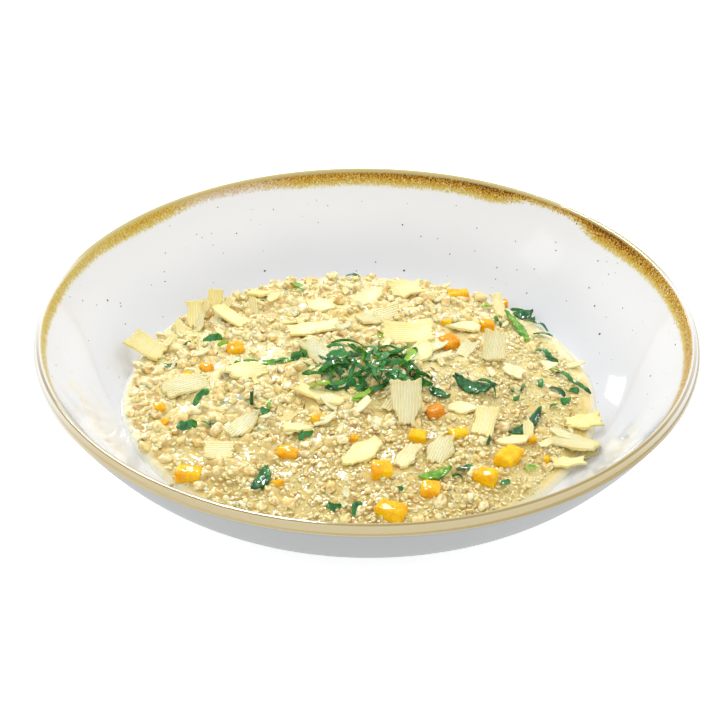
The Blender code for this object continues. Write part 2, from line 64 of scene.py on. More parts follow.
class Value:
    """A socket of a material: sums, products and steps of it add the nodes for them."""

    def __init__(self, tree, socket=None):
        self.tree, self.socket = tree, socket

    def node(self, kind, settings=None, inputs=None, output=0):
        """Add any node: its settings first, then the values or links of its sockets."""
        made = self.tree.nodes.new(kind)
        for name, setting in (settings or {}).items():
            if name == "stops":
                ramp = made.color_ramp
                while len(ramp.elements) < len(setting):
                    ramp.elements.new(0.5)
                for element, (position, color) in zip(ramp.elements, setting):
                    element.position, element.color = position, (*color, 1.0)
            else:
                setattr(made, name, setting)
        for name, given in (inputs or {}).items():
            if isinstance(given, Value):
                self.tree.links.new(given.socket, made.inputs[name])
            elif isinstance(given, tuple) and len(made.inputs[name].default_value) == 4:
                made.inputs[name].default_value = (*given, 1.0)
            else:
                made.inputs[name].default_value = given
        return Value(self.tree, made.outputs[output])

    def other(self, output):
        """Another output of the node that this value comes from."""
        return Value(self.tree, self.socket.node.outputs[output])

    def math(self, operation, *others):
        inputs = dict(enumerate((self, *others)))
        return self.node("ShaderNodeMath", {"operation": operation}, inputs)

    def vector_math(self, operation, other=(0.0, 0.0, 0.0), output="Vector"):
        inputs = {0: self, 1: other}
        return self.node("ShaderNodeVectorMath", {"operation": operation}, inputs, output)

    def __add__(self, other):
        return self.math("ADD", other)

    def __sub__(self, other):
        return self.math("SUBTRACT", other)

    def __rsub__(self, other):
        return (self * -1.0).math("ADD", other)

    def __mul__(self, other):
        return self.math("MULTIPLY", other)

    def __pow__(self, power):
        return self.math("POWER", power)

    __radd__, __rmul__ = __add__, __mul__

    def step(self, low, high):
        """0 below low, 1 above high, and a smooth rise between (or a fall, turned round)."""
        return self.node(
            "ShaderNodeMapRange", {"interpolation_type": "SMOOTHSTEP"}, {0: self, 1: low, 2: high})

    def blend(self, color_off, color_on):
        """One colour where this mask is 0 and another where it is 1."""
        return self.node(
            "ShaderNodeMix", {"data_type": "RGBA"}, {0: self, 6: color_off, 7: color_on}, 2)

    def stretch(self, x, y, z):
        """This vector with each axis scaled, so that a pattern is drawn out along one."""
        return self.vector_math("MULTIPLY", (x, y, z))

    def noise(self, scale, detail=2.0, roughness=0.5):
        """Cloudy noise at a scale, about 0.2 to 0.8."""
        return self.node(
            "ShaderNodeTexNoise", None,
            {"Vector": self, "Scale": scale, "Detail": detail, "Roughness": roughness})

    def cells(self, scale, output="Distance"):
        """Distance from, or colour of, the nearest of scattered points."""
        return self.node("ShaderNodeTexVoronoi", None, {"Vector": self, "Scale": scale}, output)

    def attribute(self, name):
        """A value stored on the mesh."""
        return self.node("ShaderNodeAttribute", {"attribute_name": name}, None, "Fac")

    def place(self):
        """Where a point is, in the object's own coordinates."""
        return self.node("ShaderNodeTexCoord", output="Object")

    def relief(self, distance, strength):
        """A bump this deep, in metres, for the shader's normal."""
        return self.node(
            "ShaderNodeBump", None, {"Strength": strength, "Distance": distance, "Height": self})


def new_finish(name, roughness, **uniform):
    """A Principled material; uniform values sit on its own sockets."""
    material = bpy.data.materials.new(name)
    material.use_nodes = True
    shader = material.node_tree.nodes["Principled BSDF"]
    shader.inputs["Roughness"].default_value = roughness
    for socket, value in uniform.items():
        shader.inputs[socket.replace("_", " ")].default_value = value

    def feed(**values):
        for socket, value in values.items():
            material.node_tree.links.new(value.socket, shader.inputs[socket.replace("_", " ")])

    return material, Value(material.node_tree), feed


def add_piece(name, shape, material, slot, replaced=()):
    """A finished mesh or bmesh becomes a piece that rides on the bowl."""
    mesh = shape
    if isinstance(shape, bmesh.types.BMesh):
        mesh = bpy.data.meshes.new(name)
        shape.to_mesh(mesh)
        shape.free()
    mesh.materials.append(material)
    mesh.shade_smooth()
    mesh.set_sharp_from_angle(angle=math.radians(75))
    piece = bpy.data.objects.new(name, mesh)
    bpy.context.scene.collection.objects.link(piece)
    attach(piece, "root")
    if replaced:
        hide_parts(*replaced)
    return piece


def curve_points(curve, steps):
    """Points along one curve of the bowl's section, without its last one."""
    start, pull_start, pull_end, end = (np.array(point) for point in curve)
    t = np.linspace(0.0, 1.0, steps, endpoint=False)[:, None]
    s = 1.0 - t
    points = s ** 3 * start + 3 * s * s * t * pull_start + 3 * s * t * t * pull_end + t ** 3 * end
    return [tuple(point) for point in points]


section = [(0.0, FOOT_RING[0][1]), *FOOT_RING]
section += curve_points(OUTER_WALL, WALL_STEPS) + curve_points(LIP_OUTSIDE, LIP_STEPS)
crest = len(section)
section += curve_points(LIP_INSIDE, LIP_STEPS) + curve_points(INNER_WALL, WALL_STEPS)
section += [INNER_WALL[-1], (0.0, FLOOR_HEIGHT)]

inside = np.array(section[crest:-1])
inside = inside[np.argsort(inside[:, 0])]


def inner_height(radius):
    """Height of the bowl's inner face at a distance from its middle."""
    return float(np.interp(radius, inside[:, 0], inside[:, 1]))


steps = np.hypot(*np.diff(np.array(section), axis=0).T)
run = np.concatenate(([0.0], np.cumsum(steps)))
bm = bmesh.new()
below_lip = bm.verts.layers.float.new("below_lip")
chain = []
for (radius, height), distance in zip(section, (run - run[crest]) * 1000.0):
    vert = bm.verts.new((radius, 0.0, height))
    vert[below_lip] = distance
    chain.append(vert)
links = [bm.edges.new(pair) for pair in zip(chain, chain[1:])]
bmesh.ops.spin(
    bm, geom=chain + links, cent=(0, 0, 0), axis=(0, 0, 1), angle=math.tau,
    steps=BOWL_TURNS, use_merge=True)
bmesh.ops.remove_doubles(bm, verts=bm.verts, dist=1e-6)
bmesh.ops.recalc_face_normals(bm, faces=bm.faces)
if bm.calc_volume(signed=True) < 0.0:
    bmesh.ops.reverse_faces(bm, faces=bm.faces)

# The white glaze high on the wall, and darker and bluer low on it as painted shade;
# outside, grey as painted shade; the lip at its sides (a painted highlight), front and
# back, and the line under it; and the clay where it shows pink.
GLAZE_LOW_PAINTED_SHADE = (0.69, 0.70, 0.725)
WHITE_GLAZE_HIGH = (0.88, 0.885, 0.90)
GLAZE_OUTSIDE_PAINTED_SHADE = (0.30, 0.31, 0.302)
LIP_SIDE_PAINTED_HIGHLIGHT = (0.80, 0.79, 0.75)
LIP_CLAY = (0.575, 0.475, 0.265)
LIP_GOLD = (0.52, 0.42, 0.15)
LIP_LINE = (0.29, 0.20, 0.045)
WASH_PINK = (0.70, 0.56, 0.43)
# The iron wash from its thinnest to its thickest.
WASH_TONES = (
    (0.10, (0.80, 0.70, 0.40)), (0.30, (0.66, 0.53, 0.15)), (0.48, (0.62, 0.40, 0.05)),
    (0.64, (0.55, 0.27, 0.008)), (0.82, (0.28, 0.10, 0.002)), (1.0, (0.10, 0.03, 0.0)))
BARE_CLAY = (0.55, 0.43, 0.28)
SPECK = (0.035, 0.03, 0.025)

# Places where the wash ran thin: bearing in degrees, half width, and how much is
# missing. At the last one the clay shows pink through it.
THIN_WASH = ((50.0, 0.22, 1.0), (119.0, 0.28, 0.30))
# Iron specks of two kinds: cells in a metre, and the least and most of a cell they fill.
SPECKS = ((255.0, 0.010, 0.078), (118.0, 0.006, 0.060))

material, start, feed = new_finish(
    "white_glaze", 0.12, Specular_IOR_Level=0.15, Coat_Roughness=0.05)
place = start.place()
depth = start.attribute("below_lip")
flat = place.stretch(1.0, 1.0, 0.0)
around = flat.vector_math("NORMALIZE")
rightward = around.node("ShaderNodeSeparateXYZ", None, {0: around})
backward = rightward.other("Y")
drips = around.stretch(150.0, 150.0, 0.0).vector_math(
    "ADD", depth.node("ShaderNodeCombineXYZ", None, {"Z": depth * 0.55}))
streak = drips.noise(1.0, 3.0, 0.7)
slow = around.noise(2.6, 3.0)
grit = place.noise(1500.0, 2.0, 0.75)
reach = 6.6 + 0.9 * rightward + 2.0 * backward + 3.2 * (streak - 0.5) + 3.0 * (slow - 0.5)
thinness = None
for bearing, width, missing in THIN_WASH:
    spot = (math.cos(math.radians(bearing)), math.sin(math.radians(bearing)), 0.0)
    near = around.vector_math("DISTANCE", spot, "Value").step(width, 0.2 * width)
    thinness = missing * near if thinness is None else thinness + missing * near
pink_spot = near
across = depth.math("DIVIDE", reach)
load = 0.44 + 0.11 * rightward + 0.10 * backward + 0.5 * (streak - 0.5) + 0.25 * (slow - 0.5)
load = load + (1.5 + 0.7 * rightward + 0.6 * backward) * (grit - 0.5)
load = load * (across + 0.35 * (grit - 0.5)).step(1.12, 0.45)
load = load + (0.20 + 0.22 * rightward) * backward.step(0.1, 0.9) * across.step(0.55, 0.22)
load = load - thinness * (0.1 + 1.2 * across) * depth.step(1.0, 2.4)
below_edge = depth - 1.3 * backward.math("ABSOLUTE") + 0.6 * (grit - 0.5)
wash = load.step(0.04, 0.28) * below_edge.step(0.0, 1.1)
clay = (depth + 0.9 * streak).step(-4.7, -3.9) * (depth + 0.8 * grit).step(4.4, 2.0)
edge_at = depth + 0.5 * grit + 1.1 * backward.math("ABSOLUTE")
side = rightward * rightward
edge_line = (edge_at + side).step(-3.2, -2.8) * (edge_at - 0.7 * side).step(-1.7, -2.3)
edge_line = edge_line * (0.62 + 0.36 * rightward + 0.3 * (slow - 0.5))
inner_line = 0.85 * depth.step(-1.1, -0.7) * depth.step(0.3, -0.1)
edge_line = edge_line + inner_line * backward.step(0.1, -0.4)
outside = depth.step(-3.4, -4.4)
fleck = None
for scale, smallest, largest in SPECKS:
    chance = start.node("ShaderNodeSeparateColor", None, {0: place.cells(scale, "Color")})
    spot = place.cells(scale) - chance * (largest - smallest)
    spot = spot.step(smallest + 0.012, smallest - 0.006)
    fleck = spot if fleck is None else fleck.math("MAXIMUM", spot)
fleck = fleck * depth.step(2.0, 4.0)
# Painted shade: the glaze is darker and bluer low on the wall.
height = (depth + 12.0 * (place.noise(14.0) - 0.5)).step(46.0, 14.0)
color = height.blend(GLAZE_LOW_PAINTED_SHADE, WHITE_GLAZE_HIGH)
# Painted shade: the white glaze outside is painted grey.
color = outside.blend(color, GLAZE_OUTSIDE_PAINTED_SHADE)
# Painted highlight: the lip is white at its sides; gold at the back, clay at the front.
lip_tone = backward.step(0.15, 0.45).blend(LIP_SIDE_PAINTED_HIGHLIGHT, LIP_GOLD)
lip_tone = backward.step(-0.30, -0.75).blend(lip_tone, LIP_CLAY)
color = clay.blend(color, lip_tone)
color = edge_line.blend(color, LIP_LINE)
stain = load.node("ShaderNodeValToRGB", {"stops": WASH_TONES}, {0: load})
stain = (pink_spot * load.step(0.8, 0.3) * 0.8).blend(stain, WASH_PINK)
color = wash.blend(color, stain)
color = fleck.blend(color, SPECK)
bare = place.node("ShaderNodeSeparateXYZ", None, {0: place}, "Z").step(0.0009, 0.0004)
color = bare.blend(color, BARE_CLAY)
feed(
    Base_Color=color,
    Roughness=0.10 + 0.14 * wash + 0.5 * bare + 0.3 * outside,
    Coat_Weight=0.95 - 0.85 * wash - 0.95 * outside,
    Normal=(place.noise(90.0, 1.0) + 0.15 * streak * wash).relief(0.0004, 0.3))
add_piece("glazed_bowl", bm, material, "glaze", ["bowl"])


# ------------------------------------------------------------- the cream bed
# The body of the risotto: starchy cream that holds the grains together. It is
# ladled hot, so it levels against the wall with a thin rounded edge. At the
# left and back it has set into fluffy curds; at the front right it is a sauce.

FOOD_RADIUS = 0.0896
FOOD_LEAN = 0.0024
FOOD_LEAN_TOWARDS = math.radians(190)
FOOD_OVAL = 0.0010
FOOD_WAVE = 0.0010
FOOD_TOP = 0.0240
EDGE_STEP = 0.0016
LUMP_HEIGHT = 0.0011
LUMP_SIZE = 0.0130
BED_RINGS = 170
CLUMP_SIZE = 0.0085
CLUMP_RISE = 0.0015
CURD_CELL = 0.0056
CURD_RISE = 0.0019
KNOT_CELL = 0.0022
KNOT_RISE = 0.00085
FILM_TOWARDS = math.radians(12)
MOUND_X, MOUND_Y = 0.003, 0.001
MOUND = (0.0140, 0.0095, 0.0042)


def food_edge(angle):
    """Distance from the middle to the risotto's edge."""
    turn = Vector((math.cos(angle), math.sin(angle), 0.0)) * 3.0
    wave = noise.noise(turn + Vector((0.0, 0.0, 4.0)))
    lean = FOOD_LEAN * math.cos(angle - FOOD_LEAN_TOWARDS)
    return FOOD_RADIUS + lean + FOOD_OVAL * math.cos(2 * angle) + FOOD_WAVE * wave


def core_height(x, y):
    """Height of the risotto without its clumps and grains."""
    edge = food_edge(math.atan2(y, x))
    share = min(math.hypot(x, y) / edge, 1.0)
    edge_height = inner_height(edge) + EDGE_STEP
    lump = LUMP_HEIGHT * noise.noise(Vector((x, y, 0.0)) / LUMP_SIZE) * (1.0 - share ** 4)
    return edge_height + (FOOD_TOP - edge_height) * (1.0 - share * share) + lump


def smooth_step(value, low, high):
    t = min(max((value - low) / (high - low), 0.0), 1.0)
    return t * t * (3.0 - 2.0 * t)


def edge_share(x, y):
    return math.hypot(x, y) / food_edge(math.atan2(y, x))


def film_start(x, y):
    """Share of the radius where the smooth film of cream begins: widest at the right."""
    towards = max(math.cos(math.atan2(y, x) - FILM_TOWARDS), 0.0)
    return 0.992 - 0.055 * towards * towards


def curdiness(x, y):
    """1 where the cream has set into curds, 0 where it stays a sauce."""
    cloud = noise.noise(Vector((x, y, 0.11)) / 0.012)
    return min(max(smooth_step(y - x, -0.055, 0.040) * 0.85 + 0.55 * cloud, 0.0), 1.0)


def wetness(x, y):
    """0 where grains heap up, 1 where cream stands over them."""
    cloud = noise.noise(Vector((x, y, 0.03)) / 0.013)
    cloud += 0.6 * noise.noise(Vector((x, y, 0.05)) / 0.005)
    film = smooth_step(edge_share(x, y), film_start(x, y) - 0.04, film_start(x, y))
    return min(max(0.24 + 0.75 * cloud + film + pool_share(x, y), 0.0), 1.0)


def pool_share(x, y):
    """1 in the small pool of thin sauce at the left of the dish."""
    return 1.0 - smooth_step(math.hypot((x + 0.049) / 1.3, y + 0.018), 0.0028, 0.0058)


under_toppings = ("bowl", "risotto", "basil_shreds")
topping_verts, topping_faces = [], []
for name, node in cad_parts.items():
    if name not in under_toppings and not name.startswith("squash"):
        first = len(topping_verts)
        topping_verts += [vert.co.copy() for vert in node.data.vertices]
        for face in node.data.polygons:
            topping_faces.append([first + index for index in face.vertices])
topping_tree = BVHTree.FromPolygons(topping_verts, topping_faces)


def room_above(x, y, around=0.0):
    """Height of the lowest topping over a point or a small circle, or of open air."""
    lowest = 1.0
    reach = 0.8 * around
    spots = ((0.0, 0.0), (reach, 0.0), (-reach, 0.0), (0.0, reach), (0.0, -reach))
    for dx, dy in spots[:5 if around else 1]:
        hit = topping_tree.ray_cast(Vector((x + dx, y + dy, 0.0)), Vector((0.0, 0.0, 1.0)))[0]
        lowest = min(lowest, hit.z) if hit else lowest
    return lowest


def dome(here, cell):
    """Rounded hillocks packed side by side: height 0 to 1, and a chance for each one."""
    distances, points = noise.voronoi(here / cell)
    chance = math.sin(points[0].x * 12.99 + points[0].y * 78.23) * 43758.5 % 1.0
    return max(1.0 - (distances[0] / 0.66) ** 2, 0.0), chance


def bed_form(x, y):
    """Height of the cream's surface, how much curd colour and painted light its raised places get,
    and how much painted shade its creases get.
    """
    share, wet, curdy = edge_share(x, y), wetness(x, y), curdiness(x, y)
    here = Vector((x, y, 0.0))
    clump = noise.noise((here + Vector((0.0, 0.0, 0.02))) / CLUMP_SIZE)
    aside = here / 0.004 + Vector((9.0, 0.0, 0.0))
    bend = Vector((noise.noise(here / 0.004), noise.noise(aside), 0.0))
    hill, chance = dome(here + bend * 0.0009, CURD_CELL)
    knot = dome(here + bend * 0.0003, KNOT_CELL)[0]
    shown = hill * smooth_step(0.16 + 0.78 * curdy - chance, 0.0, 0.15) * (1.0 - 0.75 * wet)
    rise = CLUMP_RISE * clump * (1.0 - 0.5 * wet) + CURD_RISE * shown
    rise += KNOT_RISE * knot * (1.0 - 0.8 * wet) * (0.3 + 0.7 * curdy) + 0.0001
    calm = 1.0 - 0.85 * smooth_step(share, film_start(x, y) - 0.02, film_start(x, y) + 0.012)
    meniscus = EDGE_STEP * 0.95 * smooth_step(share, 0.97, 1.0) ** 2
    height = core_height(x, y) + rise * calm - meniscus
    height = min(height, max(room_above(x, y) - 0.0002, core_height(x, y) - 0.0010))
    # Raised places take the pale curd colour as painted light on their tops; the gaps between knots
    # get painted shade.
    lift = min(max((height - core_height(x, y)) / 0.0022, 0.0), 1.0)
    return height, 0.55 * shown + 0.55 * lift, (1.0 - knot) * (1.0 - wet) * calm


def mound_height(x, y):
    """Height of the low mound of risotto under the basil; 0 away from it."""
    out = ((x - MOUND_X) / MOUND[0]) ** 2 + ((y - MOUND_Y) / MOUND[1]) ** 2
    return FOOD_TOP + 0.93 * MOUND[2] * math.sqrt(1.0 - out) if out < 1.0 else 0.0


def bed_height(x, y):
    """Height of the cream or of the mound, whichever shows."""
    return max(bed_form(x, y)[0], mound_height(x, y))


def disc_place(x, y):
    """Share of the radius and angle on the disc of a point of the six-sided grid."""
    angle = math.atan2(y, x)
    sixth = math.pi / 3.0
    sector = math.floor(angle / sixth)
    offset = angle - (sector + 0.5) * sixth
    share = math.hypot(x, y) * math.cos(offset) / math.cos(sixth / 2.0)
    along = math.tan(offset) / math.tan(sixth / 2.0)
    return share, (sector + 0.5 + 0.5 * along) * sixth


bm = bmesh.new()
bmesh.ops.create_circle(
    bm, segments=6, radius=1.0, cap_ends=True, cap_tris=True,
    matrix=Matrix.Rotation(math.radians(30), 4, "Z"))
bmesh.ops.subdivide_edges(bm, edges=bm.edges, cuts=BED_RINGS - 1, use_grid_fill=True)
looks = ("wet", "curd", "crease_depth", "pool", "thin")
layers = [bm.verts.layers.float.new(name) for name in looks]
for vert in bm.verts:
    share, angle = disc_place(vert.co.x, vert.co.y)
    edge = food_edge(angle)
    x = share * edge * math.cos(angle)
    y = share * edge * math.sin(angle)
    height, curd, crease_shade = bed_form(x, y)
    vert.co = (x, y, height)
    thin = smooth_step(share, 0.965, 0.995)
    for layer, value in zip(layers, (wetness(x, y), curd, crease_shade, pool_share(x, y), thin)):
        vert[layer] = value
# A hidden skirt: out under the wall's face, then in along it to the floor.
rim = [edge for edge in bm.edges if edge.is_boundary]
for radius, sunk in ((None, 0.0001), (None, 0.0012), (INNER_WALL[-1][0], 0.0012)):
    made = bmesh.ops.extrude_edge_only(bm, edges=rim)["geom"]
    rim = [item for item in made if isinstance(item, bmesh.types.BMEdge) and item.is_boundary]
    for vert in {vert for edge in rim for vert in edge.verts}:
        here = math.hypot(vert.co.x, vert.co.y)
        wanted = here + 0.0003 if radius is None else radius
        x, y = vert.co.x * wanted / here, vert.co.y * wanted / here
        vert.co = (x, y, inner_height(wanted) - sunk)
bmesh.ops.edgeloop_fill(bm, edges=rim)
bmesh.ops.recalc_face_normals(bm, faces=bm.faces)
if bm.calc_volume(signed=True) < 0.0:
    bmesh.ops.reverse_faces(bm, faces=bm.faces)

SAUCE = (0.72, 0.55, 0.18)
SAUCE_PALE = (0.88, 0.75, 0.35)
CURD_PALE = (0.96, 0.85, 0.46)
CURD_TAN = (0.80, 0.58, 0.21)
CREASE_PAINTED_SHADE = (0.53, 0.32, 0.07)
WET_CREAM = (0.82, 0.70, 0.36)
POOL_GREEN = (0.42, 0.47, 0.29)
THIN_CREAM = (0.92, 0.89, 0.76)
THIN_SAUCE = (0.90, 0.83, 0.58)


def side_of_dish(start):
    """0 at the front of the dish, 1 at its back and left, with a cloudy border."""
    place = start.place()
    sides = place.node("ShaderNodeSeparateXYZ", None, {0: place})
    return (sides.other("Y") - 0.4 * sides + 0.05 * (place.noise(45.0) - 0.5)).step(-0.055, 0.045)


material, start, feed = new_finish(
    "cream", 0.28, Subsurface_Weight=0.8, Subsurface_Radius=(1.0, 0.65, 0.30),
    Subsurface_Scale=0.0016, Coat_Weight=0.9, Coat_Roughness=0.06, Coat_IOR=1.55,
    Specular_IOR_Level=0.0)
place = start.place()
wet, curd, crease_shade = (start.attribute(name) for name in ("wet", "curd", "crease_depth"))
set_side = side_of_dish(start)
color = (set_side * 0.8 + 0.5 * (place.noise(150.0, 3.0) - 0.5)).step(0.0, 0.9)
color = color.blend(SAUCE, SAUCE_PALE)
crumb = place.noise(700.0, 3.0, 0.7)
curd_color = crumb.step(0.36, 0.62).blend(CURD_TAN, CURD_PALE)
# Curd colour where curds show, and also as painted light on raised places.
color = (curd * (0.45 + 0.9 * set_side)).step(0.1, 0.8).blend(color, curd_color)
# Painted shade: a darker tan in the creases between the knots.
color = (crease_shade.step(0.25, 0.90) * (0.45 + 0.5 * place.noise(90.0))).blend(color, CREASE_PAINTED_SHADE)
color = (wet.step(0.6, 1.0) * 0.5 * set_side).blend(color, WET_CREAM)
color = (start.attribute("pool") * 0.95).blend(color, POOL_GREEN)
color = start.attribute("thin").blend(color, set_side.blend(THIN_SAUCE, THIN_CREAM))
feed(
    Base_Color=color,
    Roughness=0.42 - 0.26 * wet,
    Normal=(crumb * wet.step(0.8, 0.1) + 0.8 * place.noise(420.0, 1.0)).relief(0.0006, 0.75))
add_piece("cream_bed", bm, material, "grains", ["risotto"])

# A last spoonful of the same makes the low mound that the basil lies on.
mound = bmesh.new()
bmesh.ops.create_icosphere(mound, subdivisions=6, radius=1.0)
layers = [mound.verts.layers.float.new(name) for name in ("wet", "curd", "crease_depth")]
for vert in mound.verts:
    spot = Vector(vert.co[axis] * MOUND[axis] for axis in range(3))
    hill, _ = dome(spot, 0.0045)
    knot, _ = dome(spot, KNOT_CELL)
    spot *= 0.86 + 0.10 * hill + 0.06 * knot
    # Its hillocks take the curd colour, and the gaps between its knots painted shade.
    for layer, value in zip(layers, (0.2, hill, 1.0 - knot)):
        vert[layer] = value
    vert.co = spot + Vector((MOUND_X, MOUND_Y, FOOD_TOP))
add_piece("basil_mound", mound, material, "grains", ["basil_shreds"])


# ---------------------------------------------------------------- the grains
# Cooked quinoa 2 to 3 mm across: glassy lens-shaped pearls, each with the pale
# ring of its germ. They lie packed side by side, half sunk in the cream. Three
# kinds: plump and pale, glassy, and a few toasted brown.

GRAIN_SPACING = 0.00235
GRAIN_RADIUS = (0.00095, 0.00150)
GRAIN_FLATNESS = 0.82
GRAIN_TILT = 0.7
HEAPED_GRAINS = 700


def round_shape(cuts):
    """A small ball with few faces: a cube divided and pushed out to a sphere."""
    ball = bmesh.new()
    bmesh.ops.create_cube(ball, size=2.0)
    bmesh.ops.subdivide_edges(ball, edges=ball.edges, cuts=cuts, use_grid_fill=True)
    for vert in ball.verts:
        vert.co.normalize()
    points = np.array([vert.co for vert in ball.verts])
    faces = np.array([[vert.index for vert in face.verts] for face in ball.faces])
    ball.free()
    return points, faces


def scattered_mesh(name, shapes, faces, copies, marks):
    """One mesh of many copies, each a (place, turn, size, tint), with point attributes."""
    places, turns, sizes, tints = zip(*copies)
    count, corners = len(places), shapes.shape[1]
    spins = np.array([Euler(turn).to_matrix() for turn in turns])
    points = np.einsum("nij,nkj->nki", spins, shapes * np.array(sizes)[:, None, :])
    points += np.array(places)[:, None, :]
    loops = faces[None, :, :] + (np.arange(count) * corners)[:, None, None]
    mesh = bpy.data.meshes.new(name)
    loops = loops.reshape(-1, faces.shape[1])
    mesh.from_pydata(points.reshape(-1, 3).tolist(), [], loops.tolist())
    for mark, values in (("tint", np.repeat(tints, corners)), *marks):
        layer = mesh.attributes.new(mark, "FLOAT", "POINT")
        layer.data.foreach_set("value", np.ascontiguousarray(values, np.float32).ravel())
    return mesh


squash_trees = []
for name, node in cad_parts.items():
    if name.startswith("squash"):
        squash_trees.append(BVHTree.FromPolygons(
            [vert.co.copy() for vert in node.data.vertices],
            [list(face.vertices) for face in node.data.polygons]))


def in_squash(point):
    """Whether a point is inside a squash cube."""
    for tree in squash_trees:
        hit, normal = tree.find_nearest(point, 0.004)[:2]
        if hit and (point - hit).dot(normal) < -0.0003:
            return True
    return False


rng = random.Random(23)
pearls = []
rows = int(FOOD_RADIUS * 1.05 / (GRAIN_SPACING * 0.866))
for row in range(-rows, rows + 1):
    for column in range(-rows, rows + 1):
        x = (column + 0.5 * (row % 2)) * GRAIN_SPACING + rng.uniform(-0.32, 0.32) * GRAIN_SPACING
        y = row * GRAIN_SPACING * 0.866 + rng.uniform(-0.32, 0.32) * GRAIN_SPACING
        if edge_share(x, y) < film_start(x, y) - 0.002:
            pearls.append((x, y, False))
for number in range(HEAPED_GRAINS):
    x, y = rng.uniform(-0.088, 0.088), rng.uniform(-0.088, 0.088)
    if edge_share(x, y) < 0.95 and wetness(x, y) < rng.uniform(0.05, 0.45):
        pearls.append((x, y, True))

kinds = {"plump_grains": [], "glassy_grains": [], "toasted_grains": []}
for x, y, heaped in pearls:
    wet, curdy = wetness(x, y), curdiness(x, y)
    radius = rng.uniform(*GRAIN_RADIUS)
    turn = (
        rng.uniform(-GRAIN_TILT, GRAIN_TILT), rng.uniform(-GRAIN_TILT, GRAIN_TILT),
        rng.uniform(0.0, math.tau))
    draw, tint, keep = rng.random(), rng.random(), rng.random()
    surface, raised_light, _ = bed_form(x, y)
    surface = max(surface, mound_height(x, y))
    # Grains on raised places take the light tone: painted light on their tops.
    tint = 0.45 * tint + 0.55 * min(raised_light * 1.2, 1.0)
    sink = radius * (0.26 + 0.45 * wet + 0.50 * curdy + rng.uniform(-0.28, 0.22))
    if heaped:
        sink -= radius * rng.uniform(0.4, 0.9)
    z = min(surface - sink, room_above(x, y, radius) - 0.9 * radius)
    covered = keep < 0.05 + 0.58 * curdy + pool_share(x, y)
    if covered or z < surface - 0.85 * radius or in_squash(Vector((x, y, z))):
        continue
    if draw < 0.10 + 0.55 * curdy:
        kind = "plump_grains"
    elif draw < 0.985:
        kind = "glassy_grains"
    else:
        kind = "toasted_grains"
    size = (radius * rng.uniform(0.95, 1.12), radius, radius * GRAIN_FLATNESS)
    kinds[kind].append(((x, y, z), turn, size, tint))

grain_points, grain_faces = round_shape(1)
# Body tones, dark and light, and the tone of the ring that the germ makes.
GRAIN_COLORS = {
    "plump_grains": ((0.80, 0.61, 0.23), (0.93, 0.79, 0.39), (0.96, 0.87, 0.52)),
    "glassy_grains": ((0.53, 0.36, 0.09), (0.74, 0.56, 0.19), (0.95, 0.83, 0.47)),
    "toasted_grains": ((0.50, 0.27, 0.07), (0.72, 0.49, 0.17), (0.88, 0.70, 0.33)),
}
for name, grains in kinds.items():
    shapes = np.broadcast_to(grain_points, (len(grains), *grain_points.shape))
    upward = np.tile(grain_points[:, 2], len(grains))
    mesh = scattered_mesh(name, shapes, grain_faces, grains, [("upward", upward)])
    dark_tone, light_tone, germ_tone = GRAIN_COLORS[name]
    material, start, feed = new_finish(
        name, 0.2, Subsurface_Weight=0.6, Subsurface_Radius=(1.0, 0.65, 0.25),
        Subsurface_Scale=0.0014, Coat_Weight=1.0, Coat_Roughness=0.06, Coat_IOR=1.6,
        Specular_IOR_Level=0.0)
    place, tint, upward = start.place(), start.attribute("tint"), start.attribute("upward")
    germ = upward.step(0.30, 0.52) * upward.step(0.92, 0.66)
    color = tint.blend(dark_tone, light_tone)
    color = (side_of_dish(start) * 0.40).blend(color, germ_tone)
    color = (germ * 0.85).blend(color, germ_tone)
    feed(
        Base_Color=color, Roughness=0.12 + 0.2 * tint,
        Normal=place.noise(1200.0).relief(0.0001, 0.4))
    add_piece(name, mesh, material, "grains")


# ----------------------------------------------------- the curds and the husks
# Loose curds, 2 to 6 mm, where cream and grated cheese have set round broken
# grains: knotty like cauliflower and pale, with painted shade, a darker tan, in their
# folds. Brown curls of husk came loose in the pan. All of it sticks to the wet surface.

CURDS = 460
CURD_SIZE = (0.0011, 0.0033)
CURD_KINDS = 12
CURD_DEEP, CURD_LIGHT, CURD_FOLD_SHADE = (0.87, 0.69, 0.28), (0.95, 0.85, 0.49), (0.70, 0.43, 0.12)
HUSKS = 260
HUSK_DARK, HUSK_LIGHT = (0.20, 0.08, 0.015), (0.58, 0.33, 0.09)

